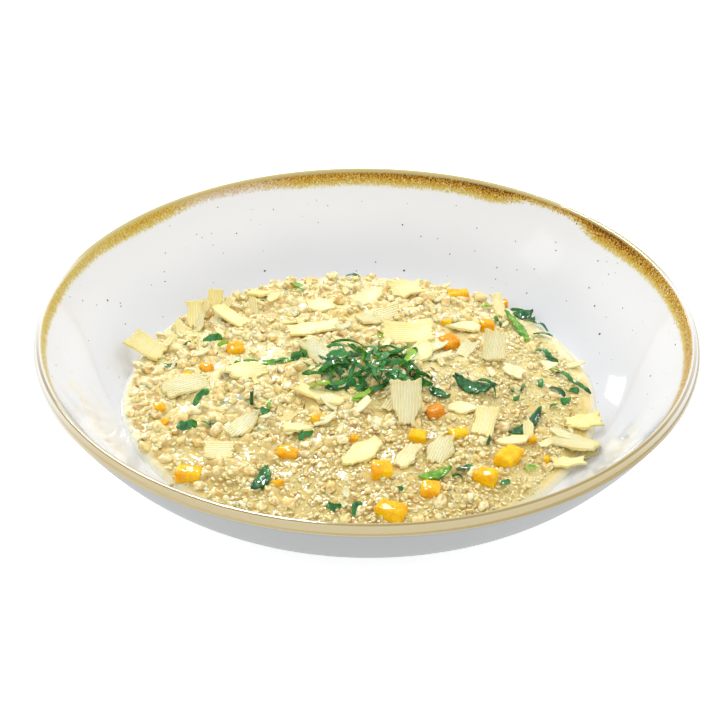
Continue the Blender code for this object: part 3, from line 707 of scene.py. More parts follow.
rng = random.Random(31)
ball_points, curd_faces = round_shape(3)
variants, fold_shades = [], []
for number in range(CURD_KINDS):
    knotted, fold_shading = [], []
    for point in ball_points:
        direction = Vector(point)
        knot = dome(direction + Vector((number * 7.0, 3.0, 1.0)), 0.62)[0]
        swell = 0.78 + 0.42 * noise.noise(direction * 1.4 + Vector((number * 7.0, 0.0, 0.0)))
        knotted.append(direction * (swell + 0.26 * knot))
        fold_shading.append(1.0 - knot)
    variants.append(knotted)
    fold_shades.append(fold_shading)
variants, fold_shades = np.array(variants), np.array(fold_shades)
curds, picks = [], []
while len(curds) < CURDS:
    x, y = rng.uniform(-0.088, 0.088), rng.uniform(-0.088, 0.088)
    curdy = curdiness(x, y)
    if edge_share(x, y) > 0.97 or curdy < rng.uniform(-0.15, 0.75):
        continue
    size = rng.uniform(*CURD_SIZE) * rng.uniform(0.75, 1.1)
    flat = size * rng.uniform(0.6, 0.9)
    surface = bed_height(x, y)
    z = min(surface + flat * rng.uniform(-0.30, 0.35), room_above(x, y, size) - flat)
    if z < surface - flat * 0.7 or in_squash(Vector((x, y, z))):
        continue
    turn = (rng.uniform(-0.6, 0.6), rng.uniform(-0.6, 0.6), rng.uniform(0.0, math.tau))
    curds.append(((x, y, z), turn, (size * rng.uniform(0.9, 1.4), size, flat), rng.random()))
    picks.append(rng.randrange(CURD_KINDS))
mesh = scattered_mesh("curds", variants[picks], curd_faces, curds, [("fold", fold_shades[picks])])
material, start, feed = new_finish(
    "curds", 0.38, Subsurface_Weight=0.7, Subsurface_Radius=(1.0, 0.7, 0.3),
    Subsurface_Scale=0.0016, Coat_Weight=0.8, Coat_Roughness=0.10, Coat_IOR=1.55,
    Specular_IOR_Level=0.0)
place, tint = start.place(), start.attribute("tint")
color = (tint * 0.7 + 0.5 * place.noise(500.0, 2.0)).step(0.1, 0.9).blend(CURD_DEEP, CURD_LIGHT)
# Painted shade: a darker tan in the folds between the knots.
color = (start.attribute("fold").step(0.40, 1.0) * 0.75).blend(color, CURD_FOLD_SHADE)
feed(
    Base_Color=color, Roughness=0.26 + 0.25 * place.noise(400.0),
    Normal=place.noise(800.0, 2.0).relief(0.0003, 0.6))
add_piece("curds", mesh, material, "grains")

curl = bmesh.new()
bmesh.ops.create_grid(curl, x_segments=4, y_segments=1, size=1.0)
for vert in curl.verts:
    x, y = vert.co.x, vert.co.y
    vert.co = (x, 0.30 * y * math.sqrt(1.04 - x * x) + 0.45 * x * x, 0.35 * x * x)
bmesh.ops.solidify(curl, geom=curl.faces, thickness=0.09)
bmesh.ops.triangulate(curl, faces=curl.faces)
bmesh.ops.recalc_face_normals(curl, faces=curl.faces)
husk_points = np.array([vert.co for vert in curl.verts])
husk_faces = np.array([[vert.index for vert in face.verts] for face in curl.faces])
curl.free()
husks = []
while len(husks) < HUSKS:
    x, y = rng.uniform(-0.088, 0.088), rng.uniform(-0.088, 0.088)
    if edge_share(x, y) > 0.95:
        continue
    z = min(bed_height(x, y) + rng.uniform(0.0003, 0.0012), room_above(x, y) - 0.0002)
    turn = (rng.uniform(-0.6, 0.6), rng.uniform(-0.6, 0.6), rng.uniform(0.0, math.tau))
    size = rng.uniform(0.0006, 0.0015)
    husks.append(((x, y, z), turn, (size, size, size), rng.random()))
shapes = np.broadcast_to(husk_points, (len(husks), *husk_points.shape))
mesh = scattered_mesh("husks", shapes, husk_faces, husks, [])
material, start, feed = new_finish("husks", 0.35)
tint = start.attribute("tint")
feed(Base_Color=tint.blend(HUSK_DARK, HUSK_LIGHT), Roughness=0.3 + 0.2 * tint)
add_piece("husks", mesh, material, "grains")


# ---------------------------------------------------------------- the squash
# Butternut cut by hand into blocks of 6 to 12 mm and roasted until its corners
# round off. The flesh is amber with fine fibres and a wet shine. The blocks
# were stirred in, so they stand 2 to 3 mm deep in the grains, with odd crumbs.


SMOOTH_LEVELS = 3
SHARP_FOLD = math.radians(50)


def smooth_copy(node, sharpness=1.0):
    """A merged copy of a CAD solid with rounder faces; its sharp folds are kept."""
    bm = bmesh.new()
    bm.from_mesh(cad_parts[node].data)
    bmesh.ops.remove_doubles(bm, verts=bm.verts, dist=1e-5)
    bmesh.ops.join_triangles(
        bm, faces=bm.faces, angle_face_threshold=math.radians(24),
        angle_shape_threshold=math.radians(60))
    rim_layer = bm.verts.layers.float.new("rim")
    crease = bm.edges.layers.float.new("crease_edge")
    corner = bm.verts.layers.float.new("crease_vert")
    for edge in bm.edges:
        if edge.calc_face_angle(0.0) > SHARP_FOLD:
            edge[crease] = sharpness
            for vert in edge.verts:
                vert[rim_layer] = 1.0
                vert[corner] = 0.8 * sharpness
    mesh = bpy.data.meshes.new(node + "_smooth")
    bm.to_mesh(mesh)
    bm.free()
    piece = bpy.data.objects.new(node + "_smooth", mesh)
    bpy.context.scene.collection.objects.link(piece)
    finer = piece.modifiers.new("Finer", "SUBSURF")
    finer.levels = finer.render_levels = SMOOTH_LEVELS
    depsgraph = bpy.context.evaluated_depsgraph_get()
    result = bmesh.new()
    result.from_mesh(bpy.data.meshes.new_from_object(piece.evaluated_get(depsgraph)))
    bpy.data.objects.remove(piece)
    result.normal_update()
    return result


def add_to(target, part):
    """Join a finished small shape into a larger mesh of its kind."""
    bmesh.ops.recalc_face_normals(part, faces=part.faces)
    mesh = bpy.data.meshes.new("part")
    part.to_mesh(mesh)
    part.free()
    target.from_mesh(mesh)
    bpy.data.meshes.remove(mesh)


def leaning(tilt, pitch, turn):
    """A matrix that tips a piece and then turns it round, in radians."""
    return Euler((tilt, pitch, turn)).to_matrix().to_4x4()


SQUASH_DEEP, SQUASH_LIGHT = (0.88, 0.36, 0.0), (0.98, 0.58, 0.002)
SQUASH_BROWNED, SQUASH_FIBRE = (0.74, 0.22, 0.012), (0.99, 0.74, 0.06)

squash_finish, start, feed = new_finish(
    "squash_flesh", 0.3, Subsurface_Weight=0.4, Subsurface_Radius=(1.0, 0.5, 0.1),
    Subsurface_Scale=0.0018, Coat_Weight=0.6, Coat_Roughness=0.12, Specular_IOR_Level=0.0)
place = start.place()
fibre = place.stretch(1.0, 0.35, 1.0).noise(1300.0, 3.0, 0.6)
mottle = place.noise(240.0, 2.0)
color = (mottle + 0.9 * (place.noise(28.0) - 0.5)).step(0.30, 0.72).blend(SQUASH_DEEP, SQUASH_LIGHT)
color = start.attribute("roasted").blend(color, SQUASH_BROWNED)
color = (fibre.step(0.50, 0.72) * 0.5).blend(color, SQUASH_FIBRE)
feed(
    Base_Color=color,
    Roughness=0.20 + 0.3 * fibre,
    Normal=(fibre + 0.6 * mottle).relief(0.0006, 0.7))
# Blocks that browned more in the roasting, and how much.
ROASTED = {
    "squash_06": 0.9, "squash_04": 0.35, "squash_02": 0.4, "squash_15": 0.3, "squash_12": 0.3}
for name in sorted(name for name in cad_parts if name.startswith("squash")):
    bm = smooth_copy(name, sharpness=0.6)
    roasted = bm.verts.layers.float.new("roasted")
    offset = Vector((sum(map(ord, name)) * 0.37, 0.0, 0.0))
    for vert in bm.verts:
        dent = noise.noise(vert.co / 0.0026 + offset) * 0.00042
        dent = dent + noise.noise(vert.co / 0.0010) * 0.00014
        vert.co += vert.normal * (dent + 0.00015)
        vert[roasted] = ROASTED.get(name, 0.0)
    add_piece("cut_" + name, bm, squash_finish, "squash", [name])

# Crumbs of squash, in mm and degrees: x, y, long, wide, tall, turn.
SQUASH_CRUMBS = (
    (56, 65, 4.5, 3.5, 3.0, 20), (-31, -64, 4.0, 3.2, 2.8, 50), (-18, -30, 4.2, 3.4, 3.2, 10),
    (-68, 2, 4.6, 3.0, 2.4, -30), (-77, -20, 4.0, 3.4, 2.6, 15), (-75, -27, 4.4, 2.6, 2.6, 70),
    (61, -34, 3.4, 3.0, 3.2, 30), (32, 40, 4.0, 3.2, 3.0, -20), (-30, 4, 2.6, 2.2, 2.2, 40),
    (-4, -41, 3.0, 2.6, 2.4, 15), (66, -44, 3.2, 1.8, 2.6, 80), (-47, 3, 3.0, 2.4, 2.0, -15),
)
rng = random.Random(41)
crumbs = bmesh.new()
for x, y, long, wide, tall, turn in SQUASH_CRUMBS:
    crumb = bmesh.new()
    bmesh.ops.create_cube(crumb, size=1.0)
    bmesh.ops.bevel(
        crumb, geom=crumb.edges[:], offset=0.2, segments=2, profile=0.5, affect="EDGES",
        material=-1)
    bmesh.ops.subdivide_edges(crumb, edges=crumb.edges, cuts=1, use_grid_fill=True)
    x, y = x / 1000.0, y / 1000.0
    stand = Matrix.Translation((x, y, bed_height(x, y) + tall * 0.0002))
    lean = leaning(rng.uniform(-0.4, 0.4), rng.uniform(-0.4, 0.4), math.radians(turn))
    for vert in crumb.verts:
        vert.co = Vector((vert.co.x * long, vert.co.y * wide, vert.co.z * tall)) / 1000.0
        vert.co *= 1.0 + 0.28 * noise.noise(vert.co / 0.0018 + Vector((x, y, 0.0)) * 900.0)
    bmesh.ops.transform(crumb, matrix=stand @ lean, verts=crumb.verts)
    add_to(crumbs, crumb)
add_piece("squash_crumbs", crumbs, squash_finish, "squash")


# ------------------------------------------------------------ the cheese shavings
# Hard cheese drawn over a fluted grater: sheets about 1 mm thick, 10 to 20 mm
# long, with fine parallel ridges from the blade, and ends torn in steps along
# them. They were dropped on at random; a few lean on one another.

RIDGE_PITCH = 1.05
TEAR_STEP = 0.0008
CHEESE_DEEP, CHEESE_LIGHT = (0.89, 0.75, 0.27), (0.96, 0.90, 0.56)
CHEESE_CLOUD, CHEESE_RIDGE_HIGHLIGHT, CHEESE_RIM = (0.87, 0.71, 0.24), (0.98, 0.95, 0.72), (0.84, 0.66, 0.18)

# Each shaving: direction of its ridges in degrees, how strongly they show, and
# how pale it is, from 0 to 1.
SHAVING_LOOKS = (
    (160, 0.7, 0.15), (95, 0.6, 0.2), (80, 0.5, 0.1), (138, 0.4, 0.5), (175, 0.4, 0.1),
    (12, 0.3, 0.6), (5, 0.3, 0.9), (36, 0.5, 0.7), (10, 0.5, 0.4), (20, 0.9, 0.5), (5, 0.5, 0.2),
    (60, 0.3, 0.6), (170, 0.3, 0.8), (80, 0.9, 0.7), (105, 0.4, 0.7), (128, 1.0, 0.9),
    (2, 0.4, 0.5), (28, 1.0, 0.4), (152, 0.5, 0.4), (92, 1.0, 0.75), (5, 0.4, 0.8),
    (76, 0.6, 0.35), (70, 1.0, 0.5), (62, 0.8, 0.5), (45, 0.2, 0.5), (158, 0.9, 0.5),
    (12, 0.3, 0.3), (8, 0.3, 0.5), (12, 0.2, 0.8), (55, 1.0, 0.7), (0, 0.8, 0.5), (175, 0.3, 0.5),
)

cheese_finish, start, feed = new_finish(
    "cheese", 0.42, Subsurface_Weight=0.35, Subsurface_Radius=(1.0, 0.8, 0.35),
    Subsurface_Scale=0.0014, Coat_Weight=0.06, Coat_Roughness=0.25, Specular_IOR_Level=0.1)
place = start.place()
across, pale, ridged = (start.attribute(name) for name in ("across", "pale", "ridged"))
wander = place.noise(220.0, 2.0)
ridge = ((across + 0.25 * wander) * (math.tau / RIDGE_PITCH)).math("SINE") * 0.5 + 0.5
grain = place.noise(1500.0, 3.0, 0.6)
color = pale.blend(CHEESE_DEEP, CHEESE_LIGHT)
color = (wander.step(0.42, 0.68) * 0.45).blend(color, CHEESE_CLOUD)
# Painted highlight: the ridge crests are lighter.
color = (ridge.step(0.35, 0.85) * ridged * 0.85).blend(color, CHEESE_RIDGE_HIGHLIGHT)
color = (start.attribute("rim") * 0.35).blend(color, CHEESE_RIM)
feed(
    Base_Color=color,
    Roughness=0.34 + 0.2 * grain,
    Normal=(ridge * ridged * ridged + 0.3 * grain).relief(0.0005, 1.0))


def look_cheese(bm, turn, ridged, pale, rim):
    """Tear a sheet's edge in steps along its ridges, and store how it looks."""
    layers = [bm.verts.layers.float.new(name) for name in ("across", "pale", "ridged")]
    along = Vector((math.cos(turn), math.sin(turn), 0.0))
    middle = sum((vert.co for vert in bm.verts), Vector()) / len(bm.verts)
    for vert in bm.verts:
        across = (vert.co.y * math.cos(turn) - vert.co.x * math.sin(turn)) * 1000.0
        for layer, value in zip(layers, (across, pale, ridged)):
            vert[layer] = value
        outward = vert.co - middle
        end = 1.0 if outward.dot(along) > 0.0 else -1.0
        edge_on = rim(vert)
        ridge_number = math.floor(across / RIDGE_PITCH) + 0.5
        torn = noise.cell(Vector((ridge_number, end * 3.0 + 0.5, middle.x * 1e4)))
        at_end = abs(outward.normalized().dot(along))
        vert.co += along * (end * torn * TEAR_STEP * edge_on * at_end)
        tear = noise.noise(vert.co / 0.0009) * 0.00030 + noise.noise(vert.co / 0.0030) * 0.0004
        vert.co += outward.normalized() * (tear * edge_on)
        vert.co += vert.normal * (noise.noise(vert.co / 0.0016) * 0.00008)


for number, (turn, ridged, pale) in enumerate(SHAVING_LOOKS, start=1):
    name = f"shaving_{number:02d}"
    bm = smooth_copy(name)
    rim_layer = bm.verts.layers.float["rim"]
    look_cheese(bm, math.radians(turn), ridged, pale, lambda vert: vert[rim_layer] ** 2)
    add_piece("cheese_" + name, bm, cheese_finish, "cheese", [name])

# Bits of cheese, in mm and degrees: x, y, long, wide, turn, rise, paleness; then crumbs.
CHEESE_CRUMBS = 90
CHEESE_BITS = (
    (-46, 49, 7.0, 4.5, 95, 50, 0.2), (-30, 39, 13.0, 3.0, 3, 8, 0.3),
    (-67, 39, 8.0, 4.0, 70, 40, 0.6), (28, 12, 12.0, 3.6, 12, 10, 0.7),
    (39, 18, 7.0, 5.0, 55, 25, 0.8), (57, 7, 8.0, 6.5, 150, 12, 0.9),
    (82, 19, 8.0, 3.0, 20, 5, 0.5), (71, 16, 6.0, 4.5, 165, 10, 0.9),
    (-2, -24, 9.0, 3.6, 38, 22, 1.0), (-13, -21, 8.0, 5.5, 145, 15, 0.9),
    (-15, -31, 9.0, 4.0, 25, 14, 0.7), (-38, 58, 6.0, 3.0, 30, 20, 0.4),
    (-9, 70, 7.0, 3.2, 160, 12, 0.5), (30, 62, 6.0, 3.0, 15, 20, 0.6),
    (-58, 30, 6.0, 2.6, 120, 15, 0.6), (60, -30, 6.5, 4.0, 95, 30, 0.3),
    (66, -37, 5.0, 3.0, 10, 20, 0.5), (4, -33, 5.0, 3.0, 70, 20, 0.8),
    (-64, 14, 6.0, 2.4, 30, 10, 0.4), (-80, 6, 6.0, 3.0, 60, 12, 0.7),
    (48, 3, 4.5, 2.6, 120, 15, 0.9), (-50, -36, 5.0, 2.5, 150, 12, 0.6),
    (-9, 20, 8.0, 3.0, 170, 15, 0.6), (12, -6, 6.0, 3.0, 20, 30, 0.8),
    (-66, 50, 7.0, 5.0, 60, 40, 0.1), (-74, 34, 7.0, 4.0, 110, 30, 0.1),
    (-57, 50, 6.5, 4.0, 30, 45, 0.1), (-78, 26, 6.0, 3.4, 50, 25, 0.3),
    (-60, 40, 6.0, 4.0, 150, 20, 0.5), (21, 36, 10.0, 6.0, 10, 10, 0.2),
    (-10, 33, 8.0, 5.0, 15, 12, 0.8), (27, 20, 9.0, 6.0, 35, 12, 0.6),
    (80, -38, 9.0, 4.0, 20, 12, 0.2), (72, -30, 8.0, 4.0, 165, 14, 0.5),
    (-11, 8, 8.0, 6.0, 120, 18, 0.9), (9, -21, 6.0, 4.0, 60, 14, 0.3),
)
rng = random.Random(43)
crumbs = []
while len(crumbs) < CHEESE_CRUMBS:
    x, y = rng.uniform(-80.0, 80.0), rng.uniform(-80.0, 80.0)
    spot = (x / 1000.0, y / 1000.0)
    if edge_share(*spot) < 0.94 and curdiness(*spot) > rng.uniform(0.0, 0.9):
        crumbs.append((
            x, y, rng.uniform(1.8, 4.6), rng.uniform(1.4, 2.8), rng.uniform(0.0, 180.0),
            rng.uniform(0.0, 35.0), rng.random()))
bits = bmesh.new()
for x, y, long, wide, turn, rise, pale in (*CHEESE_BITS, *crumbs):
    bit = bmesh.new()
    bmesh.ops.create_grid(bit, x_segments=10, y_segments=6, size=0.5)
    x, y = x / 1000.0, y / 1000.0
    seed = Vector((x, y, 0.0)) * 700.0
    for vert in bit.verts:
        u, v = vert.co.x, vert.co.y
        narrow = 1.0 - 0.55 * max(u, 0.0) * (1.0 + noise.cell(seed)) - 0.3 * max(-u, 0.0)
        ragged = 1.0 + 0.35 * noise.noise(Vector((u, v, 0.0)) * 2.2 + seed)
        curl = 1.2 * u * u + 0.5 * v * u
        vert.co = Vector((u * long * ragged, v * wide * narrow * ragged, curl)) / 1000.0
    bmesh.ops.solidify(bit, geom=bit.faces, thickness=0.0007)
    bmesh.ops.recalc_face_normals(bit, faces=bit.faces)
    lifted = bed_height(x, y) + 0.0012 + 0.00030 * long * math.sin(math.radians(rise))
    stand = Matrix.Translation((x, y, lifted))
    lean = leaning(rng.uniform(-0.25, 0.25), -math.radians(rise), math.radians(turn))
    bmesh.ops.transform(bit, matrix=stand @ lean, verts=bit.verts)
    look_cheese(bit, math.radians(turn), rng.uniform(0.3, 1.0), pale, lambda vert: 0.25)
    add_to(bits, bit)
add_piece("cheese_bits", bits, cheese_finish, "cheese")


# ----------------------------------------------------------- the leaves and scraps
# Torn basil, baby spinach and a chive, dropped on by hand, with shreds of them
# all through the cream. The dark leaves are glossy with sunken veins and curl
# as they wilt on the hot grains; young leaves are a bright yellow green.


def leaf_finish(name, deep, light, edge_tone):
    """Glossy leaf with branching veins and lighter patches; a tint can lighten it."""
    material, start, feed = new_finish(
        name, 0.25, Subsurface_Weight=0.15, Subsurface_Radius=(0.4, 1.0, 0.15),
        Subsurface_Scale=0.0008, Coat_Weight=0.8, Coat_Roughness=0.13, Coat_IOR=1.6,
        Specular_IOR_Level=0.0)
    place = start.place()
    vein = place.stretch(1.0, 0.4, 1.0).cells(420.0).step(0.05, 0.5)
    cloud = place.noise(260.0, 3.0)
    color = (cloud + 0.45 * start.attribute("tint")).step(0.36, 0.76).blend(deep, light)
    color = (place.noise(700.0, 2.0).step(0.56, 0.72) * 0.6).blend(color, edge_tone)
    feed(
        Base_Color=color, Roughness=0.16 + 0.3 * cloud,
        Normal=(vein + 0.5 * place.noise(1200.0)).relief(0.0004, 0.6))
    return material


dark_finish = leaf_finish(
    "dark_leaf", (0.001, 0.058, 0.010), (0.036, 0.25, 0.052), (0.17, 0.47, 0.13))
bright_finish = leaf_finish(
    "bright_leaf", (0.08, 0.28, 0.015), (0.30, 0.54, 0.035), (0.56, 0.70, 0.14))
SINGLE_LEAVES = (
    ("chive_long", "bright"), ("basil_curl", "dark"), ("basil_loop", "dark"),
    ("leaf_bright", "bright"), ("leaf_back", "dark"), ("spinach_long", "dark"),
    ("leaf_front", "bright"), ("spinach_torn", "dark"),
)
for name, tone in SINGLE_LEAVES:
    bm = smooth_copy(name)
    rim_layer = bm.verts.layers.float["rim"]
    for vert in bm.verts:
        curl = noise.noise(vert.co / 0.0024) * 0.0009
        vert.co += vert.normal * (noise.noise(vert.co / 0.0013) * 0.00022)
        vert.co.z += curl * vert[rim_layer]
    finish = dark_finish if tone == "dark" else bright_finish
    add_piece("fresh_" + name, bm, finish, tone + "_leaf", [name])


def ribbon(target, path, width, thickness, roll, twist, tint):
    """A cut strip of leaf along a path: pointed ends, wavy edges, slightly cupped."""
    strip = bmesh.new()
    segments = len(path) - 1
    bmesh.ops.create_grid(strip, x_segments=segments, y_segments=2, size=1.0)
    tint_layer = strip.verts.layers.float.new("tint")
    for vert in strip.verts:
        step, v = round((vert.co.x + 1.0) * 0.5 * segments), vert.co.y
        t = step / segments
        ahead = (path[min(step + 1, segments)] - path[max(step - 1, 0)]).normalized()
        side = ahead.cross(Vector((0.0, 0.0, 1.0))).normalized()
        side.rotate(Quaternion(ahead, roll + twist * t))
        wave = 1.0 + 0.4 * noise.noise(path[step] / 0.0016 + Vector((0.0, 0.0, v * 2.0)))
        half = 0.5 * width * wave * max(min(1.0, 8.0 * t, 6.0 * (1.0 - t)), 0.10) ** 0.5
        vert.co = path[step] + side * (v * half) + side.cross(ahead) * (0.35 * half * v * v)
        vert[tint_layer] = tint
    bmesh.ops.solidify(strip, geom=strip.faces, thickness=thickness)
    add_to(target, strip)


def lying_path(x, y, length, turn, bend, lift):
    """A bent path that rests on the bumps of the cream and dips at its ends."""
    steps = 10
    points, angle = [Vector((0.0, 0.0, 0.0))], turn - bend / 2.0
    for step in range(steps):
        ahead = Vector((math.cos(angle), math.sin(angle), 0.0))
        points.append(points[-1] + ahead * length / steps)
        angle += bend / steps
    middle = sum(points, Vector()) / len(points)
    path = []
    for step, point in enumerate(points):
        spot = point - middle + Vector((x, y, 0.0))
        arch = 4.0 * lift * (step / steps) * (1.0 - step / steps)
        path.append(Vector((spot.x, spot.y, bed_height(spot.x, spot.y) + 0.0009 + arch)))
    return path


LEAF_THICKNESS = 0.0003
# Scraps, in mm and degrees: x, y, length, width, turn, bend, lift, tint; bright ones after.
DARK_SCRAPS = (
    (47, -9, 15, 1.0, -70, -100, 2.0, 0.3), (53, 46, 5, 2.6, 120, 40, 1.0, 0.2),
    (70, 49, 8, 2.2, -25, 30, 1.0, 0.2), (71, 40, 8, 1.8, 5, 20, 0.6, 0.1),
    (70, 23, 9, 2.6, -45, -60, 1.2, 0.3), (73, 20, 5, 2.0, -20, 80, 1.0, 0.1),
    (60, -3, 7, 1.4, 80, 20, 0.8, 0.1), (67, 1, 4, 2.4, 100, 30, 0.6, 0.3),
    (73, -3, 7, 2.0, -30, -30, 0.8, 0.0), (77, 8, 8, 1.6, 150, 60, 1.2, 0.3),
    (83, 3, 9, 1.4, -40, 10, 0.8, 0.1), (71, -13, 5, 2.2, 60, 50, 0.8, 0.3),
    (80, 0, 4, 2.0, 20, 20, 0.5, 0.1), (45, -39, 6, 1.6, 75, 20, 1.6, 0.0),
    (36, -55, 7, 2.4, 15, 50, 1.2, 0.2), (33, -58, 4, 1.4, 170, 60, 0.6, 0.0),
    (-61, 25, 9, 2.4, 25, -40, 1.0, 0.2), (-70, 22, 5, 2.8, 60, 60, 0.8, 0.1),
    (-76, 8, 7, 1.6, -15, 20, 0.8, 0.1), (-62, -15, 9, 2.2, 50, -50, 1.2, 0.3),
    (-66, -33, 8, 3.0, -10, 70, 1.6, 0.2), (-58, -31, 6, 1.4, -20, 30, 0.6, 0.1),
    (-38, -27, 6, 2.2, -15, 60, 0.8, 0.1), (-22, -39, 7, 2.6, 40, -60, 1.2, 0.3),
    (-11, -76, 6, 2.4, -10, 120, 1.0, 0.1), (-3, -76, 6, 2.2, 50, -120, 1.4, 0.2),
    (57, -11, 3, 1.6, 40, 20, 0.5, 0.1), (50, -60, 4, 2.0, 20, 40, 0.6, 0.3),
    (-44, 54, 5, 1.0, 15, 10, 0.6, 0.1), (-6, 84, 6, 1.2, 5, 10, 0.6, 0.1),
    (24, 80, 6, 1.2, -15, 20, 0.6, 0.2), (-26, 9, 6, 3.0, 15, 30, 1.2, 0.3),
    (-33, 8, 5, 1.2, 20, 10, 0.5, 0.2), (76, -9, 4, 2.6, 30, 60, 0.8, 0.3),
    (64, -19, 3, 1.8, 60, 40, 0.5, 0.2), (55, -6, 3, 1.4, 120, 20, 0.4, 0.1),
    (-73, -4, 4, 1.2, 100, 40, 0.5, 0.1), (-82, -38, 4, 1.4, 80, 40, 0.5, 0.2),
    (42, 51, 4, 1.0, 40, 30, 0.6, 0.2), (63, 62, 8, 1.2, -20, 40, 1.2, 0.3),
    (67, 56, 6, 2.8, -60, 40, 1.2, 0.1), (12, -67, 3, 1.6, 10, 20, 0.4, 0.2),
)
BRIGHT_SCRAPS = (
    (-17, -12, 9, 2.8, 15, 20, 1.6, 0.5), (-29, 71, 9, 2.4, -50, -30, 1.2, 0.2),
    (49, 60, 4, 2.0, 30, 20, 0.8, 0.6), (-3, -19, 4, 2.2, 20, 40, 0.8, 0.2),
    (45, -57, 5, 1.6, 10, 20, 0.8, 0.3), (73, 11, 4, 2.4, 20, 30, 0.8, 0.6),
    (-36, -22, 6, 1.8, 85, 10, 1.6, 0.2), (6, 25, 5, 1.6, 25, 40, 1.0, 0.5),
    (-25, 20, 7, 1.4, 15, 20, 1.0, 0.3), (-56, 22, 5, 1.4, 30, 30, 0.8, 0.4),
    (60, -50, 5, 1.4, 30, 30, 0.6, 0.2),
)
for name, scraps, finish in (
        ("dark_scraps", DARK_SCRAPS, dark_finish), ("bright_scraps", BRIGHT_SCRAPS, bright_finish)):
    bm = bmesh.new()
    for x, y, length, width, turn, bend, lift, tint in scraps:
        path = lying_path(
            x / 1000.0, y / 1000.0, length / 1000.0, math.radians(turn), math.radians(bend),
            lift / 1000.0)
        roll = noise.cell(path[0] * 900.0) * 0.9
        ribbon(bm, path, width / 1000.0, LEAF_THICKNESS, roll=roll, twist=0.8, tint=tint)
    add_piece(name, bm, finish, name.split("_")[0] + "_leaf")

# A cut stem stands in the grains at the left of the heap.
bm = bmesh.new()
STEM_FOOT = Vector((-0.0425, -0.0200, 0.0))
STEM_LENGTH = 0.0075
bmesh.ops.create_cone(
    bm, cap_ends=True, segments=10, radius1=0.0008, radius2=0.0007, depth=STEM_LENGTH)
foot = STEM_FOOT + Vector((0.0, 0.0, bed_height(STEM_FOOT.x, STEM_FOOT.y) + 0.4 * STEM_LENGTH))
bmesh.ops.transform(
    bm, matrix=Matrix.Translation(foot) @ leaning(0.25, 0.05, 0.0), verts=bm.verts)
bmesh.ops.bevel(
    bm, geom=bm.edges[:], offset=0.00015, segments=2, profile=0.5, affect="EDGES", material=-1)
add_piece("cut_stem", bm, dark_finish, "dark_leaf")


# ------------------------------------------------------------- the basil heap
# Basil rolled up and cut across into ribbons 1 to 3 mm wide, then dropped as a
# loose nest on a low mound of risotto. The ribbons cross, curl and stand up at
# their ends, and cheese and grains show between them.

NEST_RIBBONS = 80
NEST_TOP = 0.0355
RIBBON_LENGTH = (0.007, 0.021)
RIBBON_WIDTHS = (0.0009, 0.0014, 0.0020, 0.0029)
RIBBON_THICKNESS = 0.00025
RIBBON_STEPS = 12
GOLDEN_ANGLE = 2.39996
YOUNG_EVERY = 11

rng = random.Random(59)
nest, young = bmesh.new(), bmesh.new()
for number in range(NEST_RIBBONS):
    around = number * GOLDEN_ANGLE
    out = 0.92 * math.sqrt((number + 0.5) / NEST_RIBBONS)
    x = MOUND_X + 1.45 * MOUND[0] * out * math.cos(around)
    y = MOUND_Y + 1.30 * MOUND[1] * out * math.sin(around)
    outward = math.atan2((y - MOUND_Y) * 1.3, x - MOUND_X)
    heading = outward + rng.choice((-1.0, 1.0)) * rng.uniform(0.0, 2.2)
    climb = math.radians(rng.uniform(-10.0, 38.0))
    length = rng.uniform(*RIBBON_LENGTH) * (1.0 - 0.2 * out)
    width = rng.choice(RIBBON_WIDTHS) * rng.uniform(0.8, 1.2)
    bend, droop = rng.uniform(-1.0, 1.0) * 3.4, rng.uniform(0.4, 1.9)
    spot = Vector((x, y, bed_height(x, y) + rng.uniform(0.0004, 0.0045) * (1.0 - 0.5 * out)))
    path = [spot]
    for step in range(RIBBON_STEPS):
        spot = spot + Vector((
            math.cos(climb) * math.cos(heading), math.cos(climb) * math.sin(heading),
            math.sin(climb))) * length / RIBBON_STEPS
        spot.z = min(max(spot.z, bed_height(spot.x, spot.y) + 0.0004), NEST_TOP)
        path.append(spot)
        heading += bend / RIBBON_STEPS
        climb -= droop / RIBBON_STEPS
    ribbon(
        young if number % YOUNG_EVERY == 4 else nest, path, width, RIBBON_THICKNESS,
        roll=rng.uniform(-1.2, 1.2), twist=rng.uniform(-2.0, 2.0), tint=rng.random() ** 1.2)
add_piece("basil_nest", nest, dark_finish, "dark_leaf", ["basil_shreds"])
add_piece("young_basil", young, bright_finish, "bright_leaf", ["basil_shreds"])


# --------------------------------------------------- the table, light and camera
# A pale seamless table top under a wide overhead softness, brightest above. A
# large window at the back left and a screen at the right throw the shadows. Three
# smaller soft boxes show in the glaze, and a fourth only in the wet shine.

TABLE_GLOW = 0.6
WORLD_LOW, WORLD_RISE = 0.47, 0.68
CAMERA_PLACE = (-0.000835, -0.5821, 0.4172)
CAMERA_TILT, CAMERA_ROLL = math.radians(56.26), 0.0105

table = bmesh.new()
bmesh.ops.create_grid(
    table, x_segments=40, y_segments=40, size=3.0, matrix=Matrix.Translation((0.0, 0.0, -0.0004)))
material, start, feed = new_finish(
    "table_top", 0.6, Emission_Color=(1.0, 1.0, 1.0, 1.0), Emission_Strength=TABLE_GLOW)
feed(Base_Color=start.place().noise(3.0).blend((0.93, 0.93, 0.93), (0.95, 0.95, 0.95)))
mesh = bpy.data.meshes.new("table_top")
table.to_mesh(mesh)
table.free()
mesh.materials.append(material)
floor = bpy.data.objects.new("table_top", mesh)
bpy.context.scene.collection.objects.link(floor)

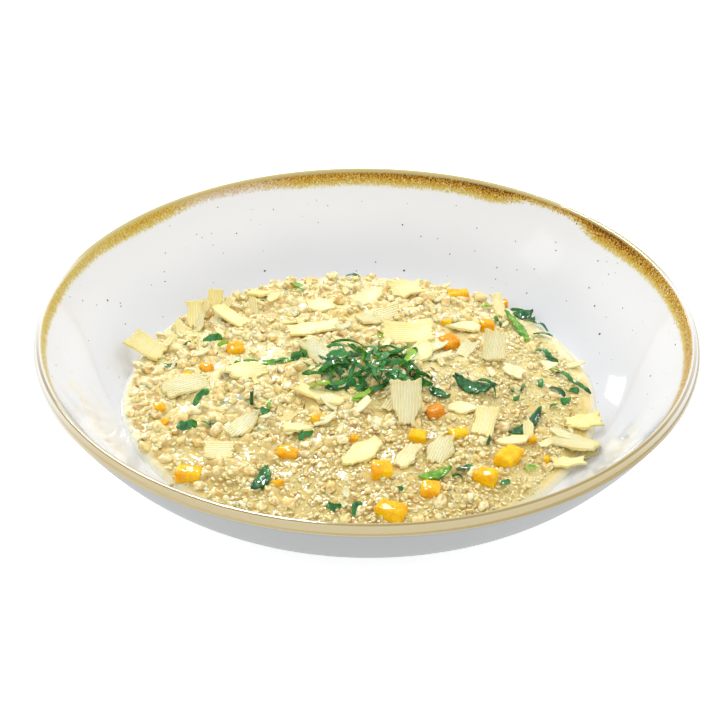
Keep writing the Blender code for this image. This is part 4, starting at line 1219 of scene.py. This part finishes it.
world = bpy.data.worlds.new("studio")
world.use_nodes = True
background = world.node_tree.nodes["Background"]
background.inputs["Color"].default_value = (0.98, 0.99, 1.0, 1.0)
sky = Value(world.node_tree)
upward = sky.node("ShaderNodeSeparateXYZ", None, {0: sky.node("ShaderNodeTexCoord")}, "Z")
strength = WORLD_LOW + WORLD_RISE * upward.step(-0.1, 0.75)
world.node_tree.links.new(strength.socket, background.inputs["Strength"])
bpy.context.scene.world = world

SOFT_BOXES = (
    # name, bearing and height in degrees, distance in metres, size, power in watts,
    # whether it lights matt surfaces, and whether glossy ones mirror it
    ("big_window", 108.5, 44.5, 1.5, (0.30, 0.30), 6.0, True, True),
    ("far_screen", 15.0, 42.0, 1.5, (0.70, 0.70), 1.5, True, False),
    ("low_window", 117.0, 20.5, 1.3, (0.17, 0.22), 1.2, True, True),
    ("left_box", 187.0, 38.0, 1.3, (0.30, 0.30), 0.25, True, True),
    ("right_box", 57.0, 36.0, 1.4, (0.34, 0.24), 0.35, True, True),
    ("glint_box", 98.0, 47.0, 1.5, (0.16, 0.16), 14.0, False, True),
)
for name, bearing, height, distance, size, power, lights_matt, mirrored in SOFT_BOXES:
    light = bpy.data.lights.new(name, "AREA")
    light.shape = "RECTANGLE"
    light.size, light.size_y = size
    light.energy = power
    lamp = bpy.data.objects.new(name, light)
    level = distance * math.cos(math.radians(height))
    spot = Vector((
        level * math.cos(math.radians(bearing)), level * math.sin(math.radians(bearing)),
        distance * math.sin(math.radians(height))))
    lamp.location = spot
    lamp.rotation_euler = (-spot).to_track_quat("-Z", "Y").to_euler()
    lamp.visible_diffuse, lamp.visible_glossy = lights_matt, mirrored
    bpy.context.scene.collection.objects.link(lamp)

camera_data = bpy.data.cameras.new("camera")
camera_data.sensor_width = 36.0
camera_data.lens = 91.0
camera = bpy.data.objects.new("camera", camera_data)
camera.matrix_world = (
    Matrix.Translation(CAMERA_PLACE)
    @ Matrix.Rotation(CAMERA_TILT, 4, "X") @ Matrix.Rotation(CAMERA_ROLL, 4, "Z"))
bpy.context.scene.collection.objects.link(camera)
bpy.context.scene.camera = camera
bpy.context.scene.view_settings.view_transform = "Standard"
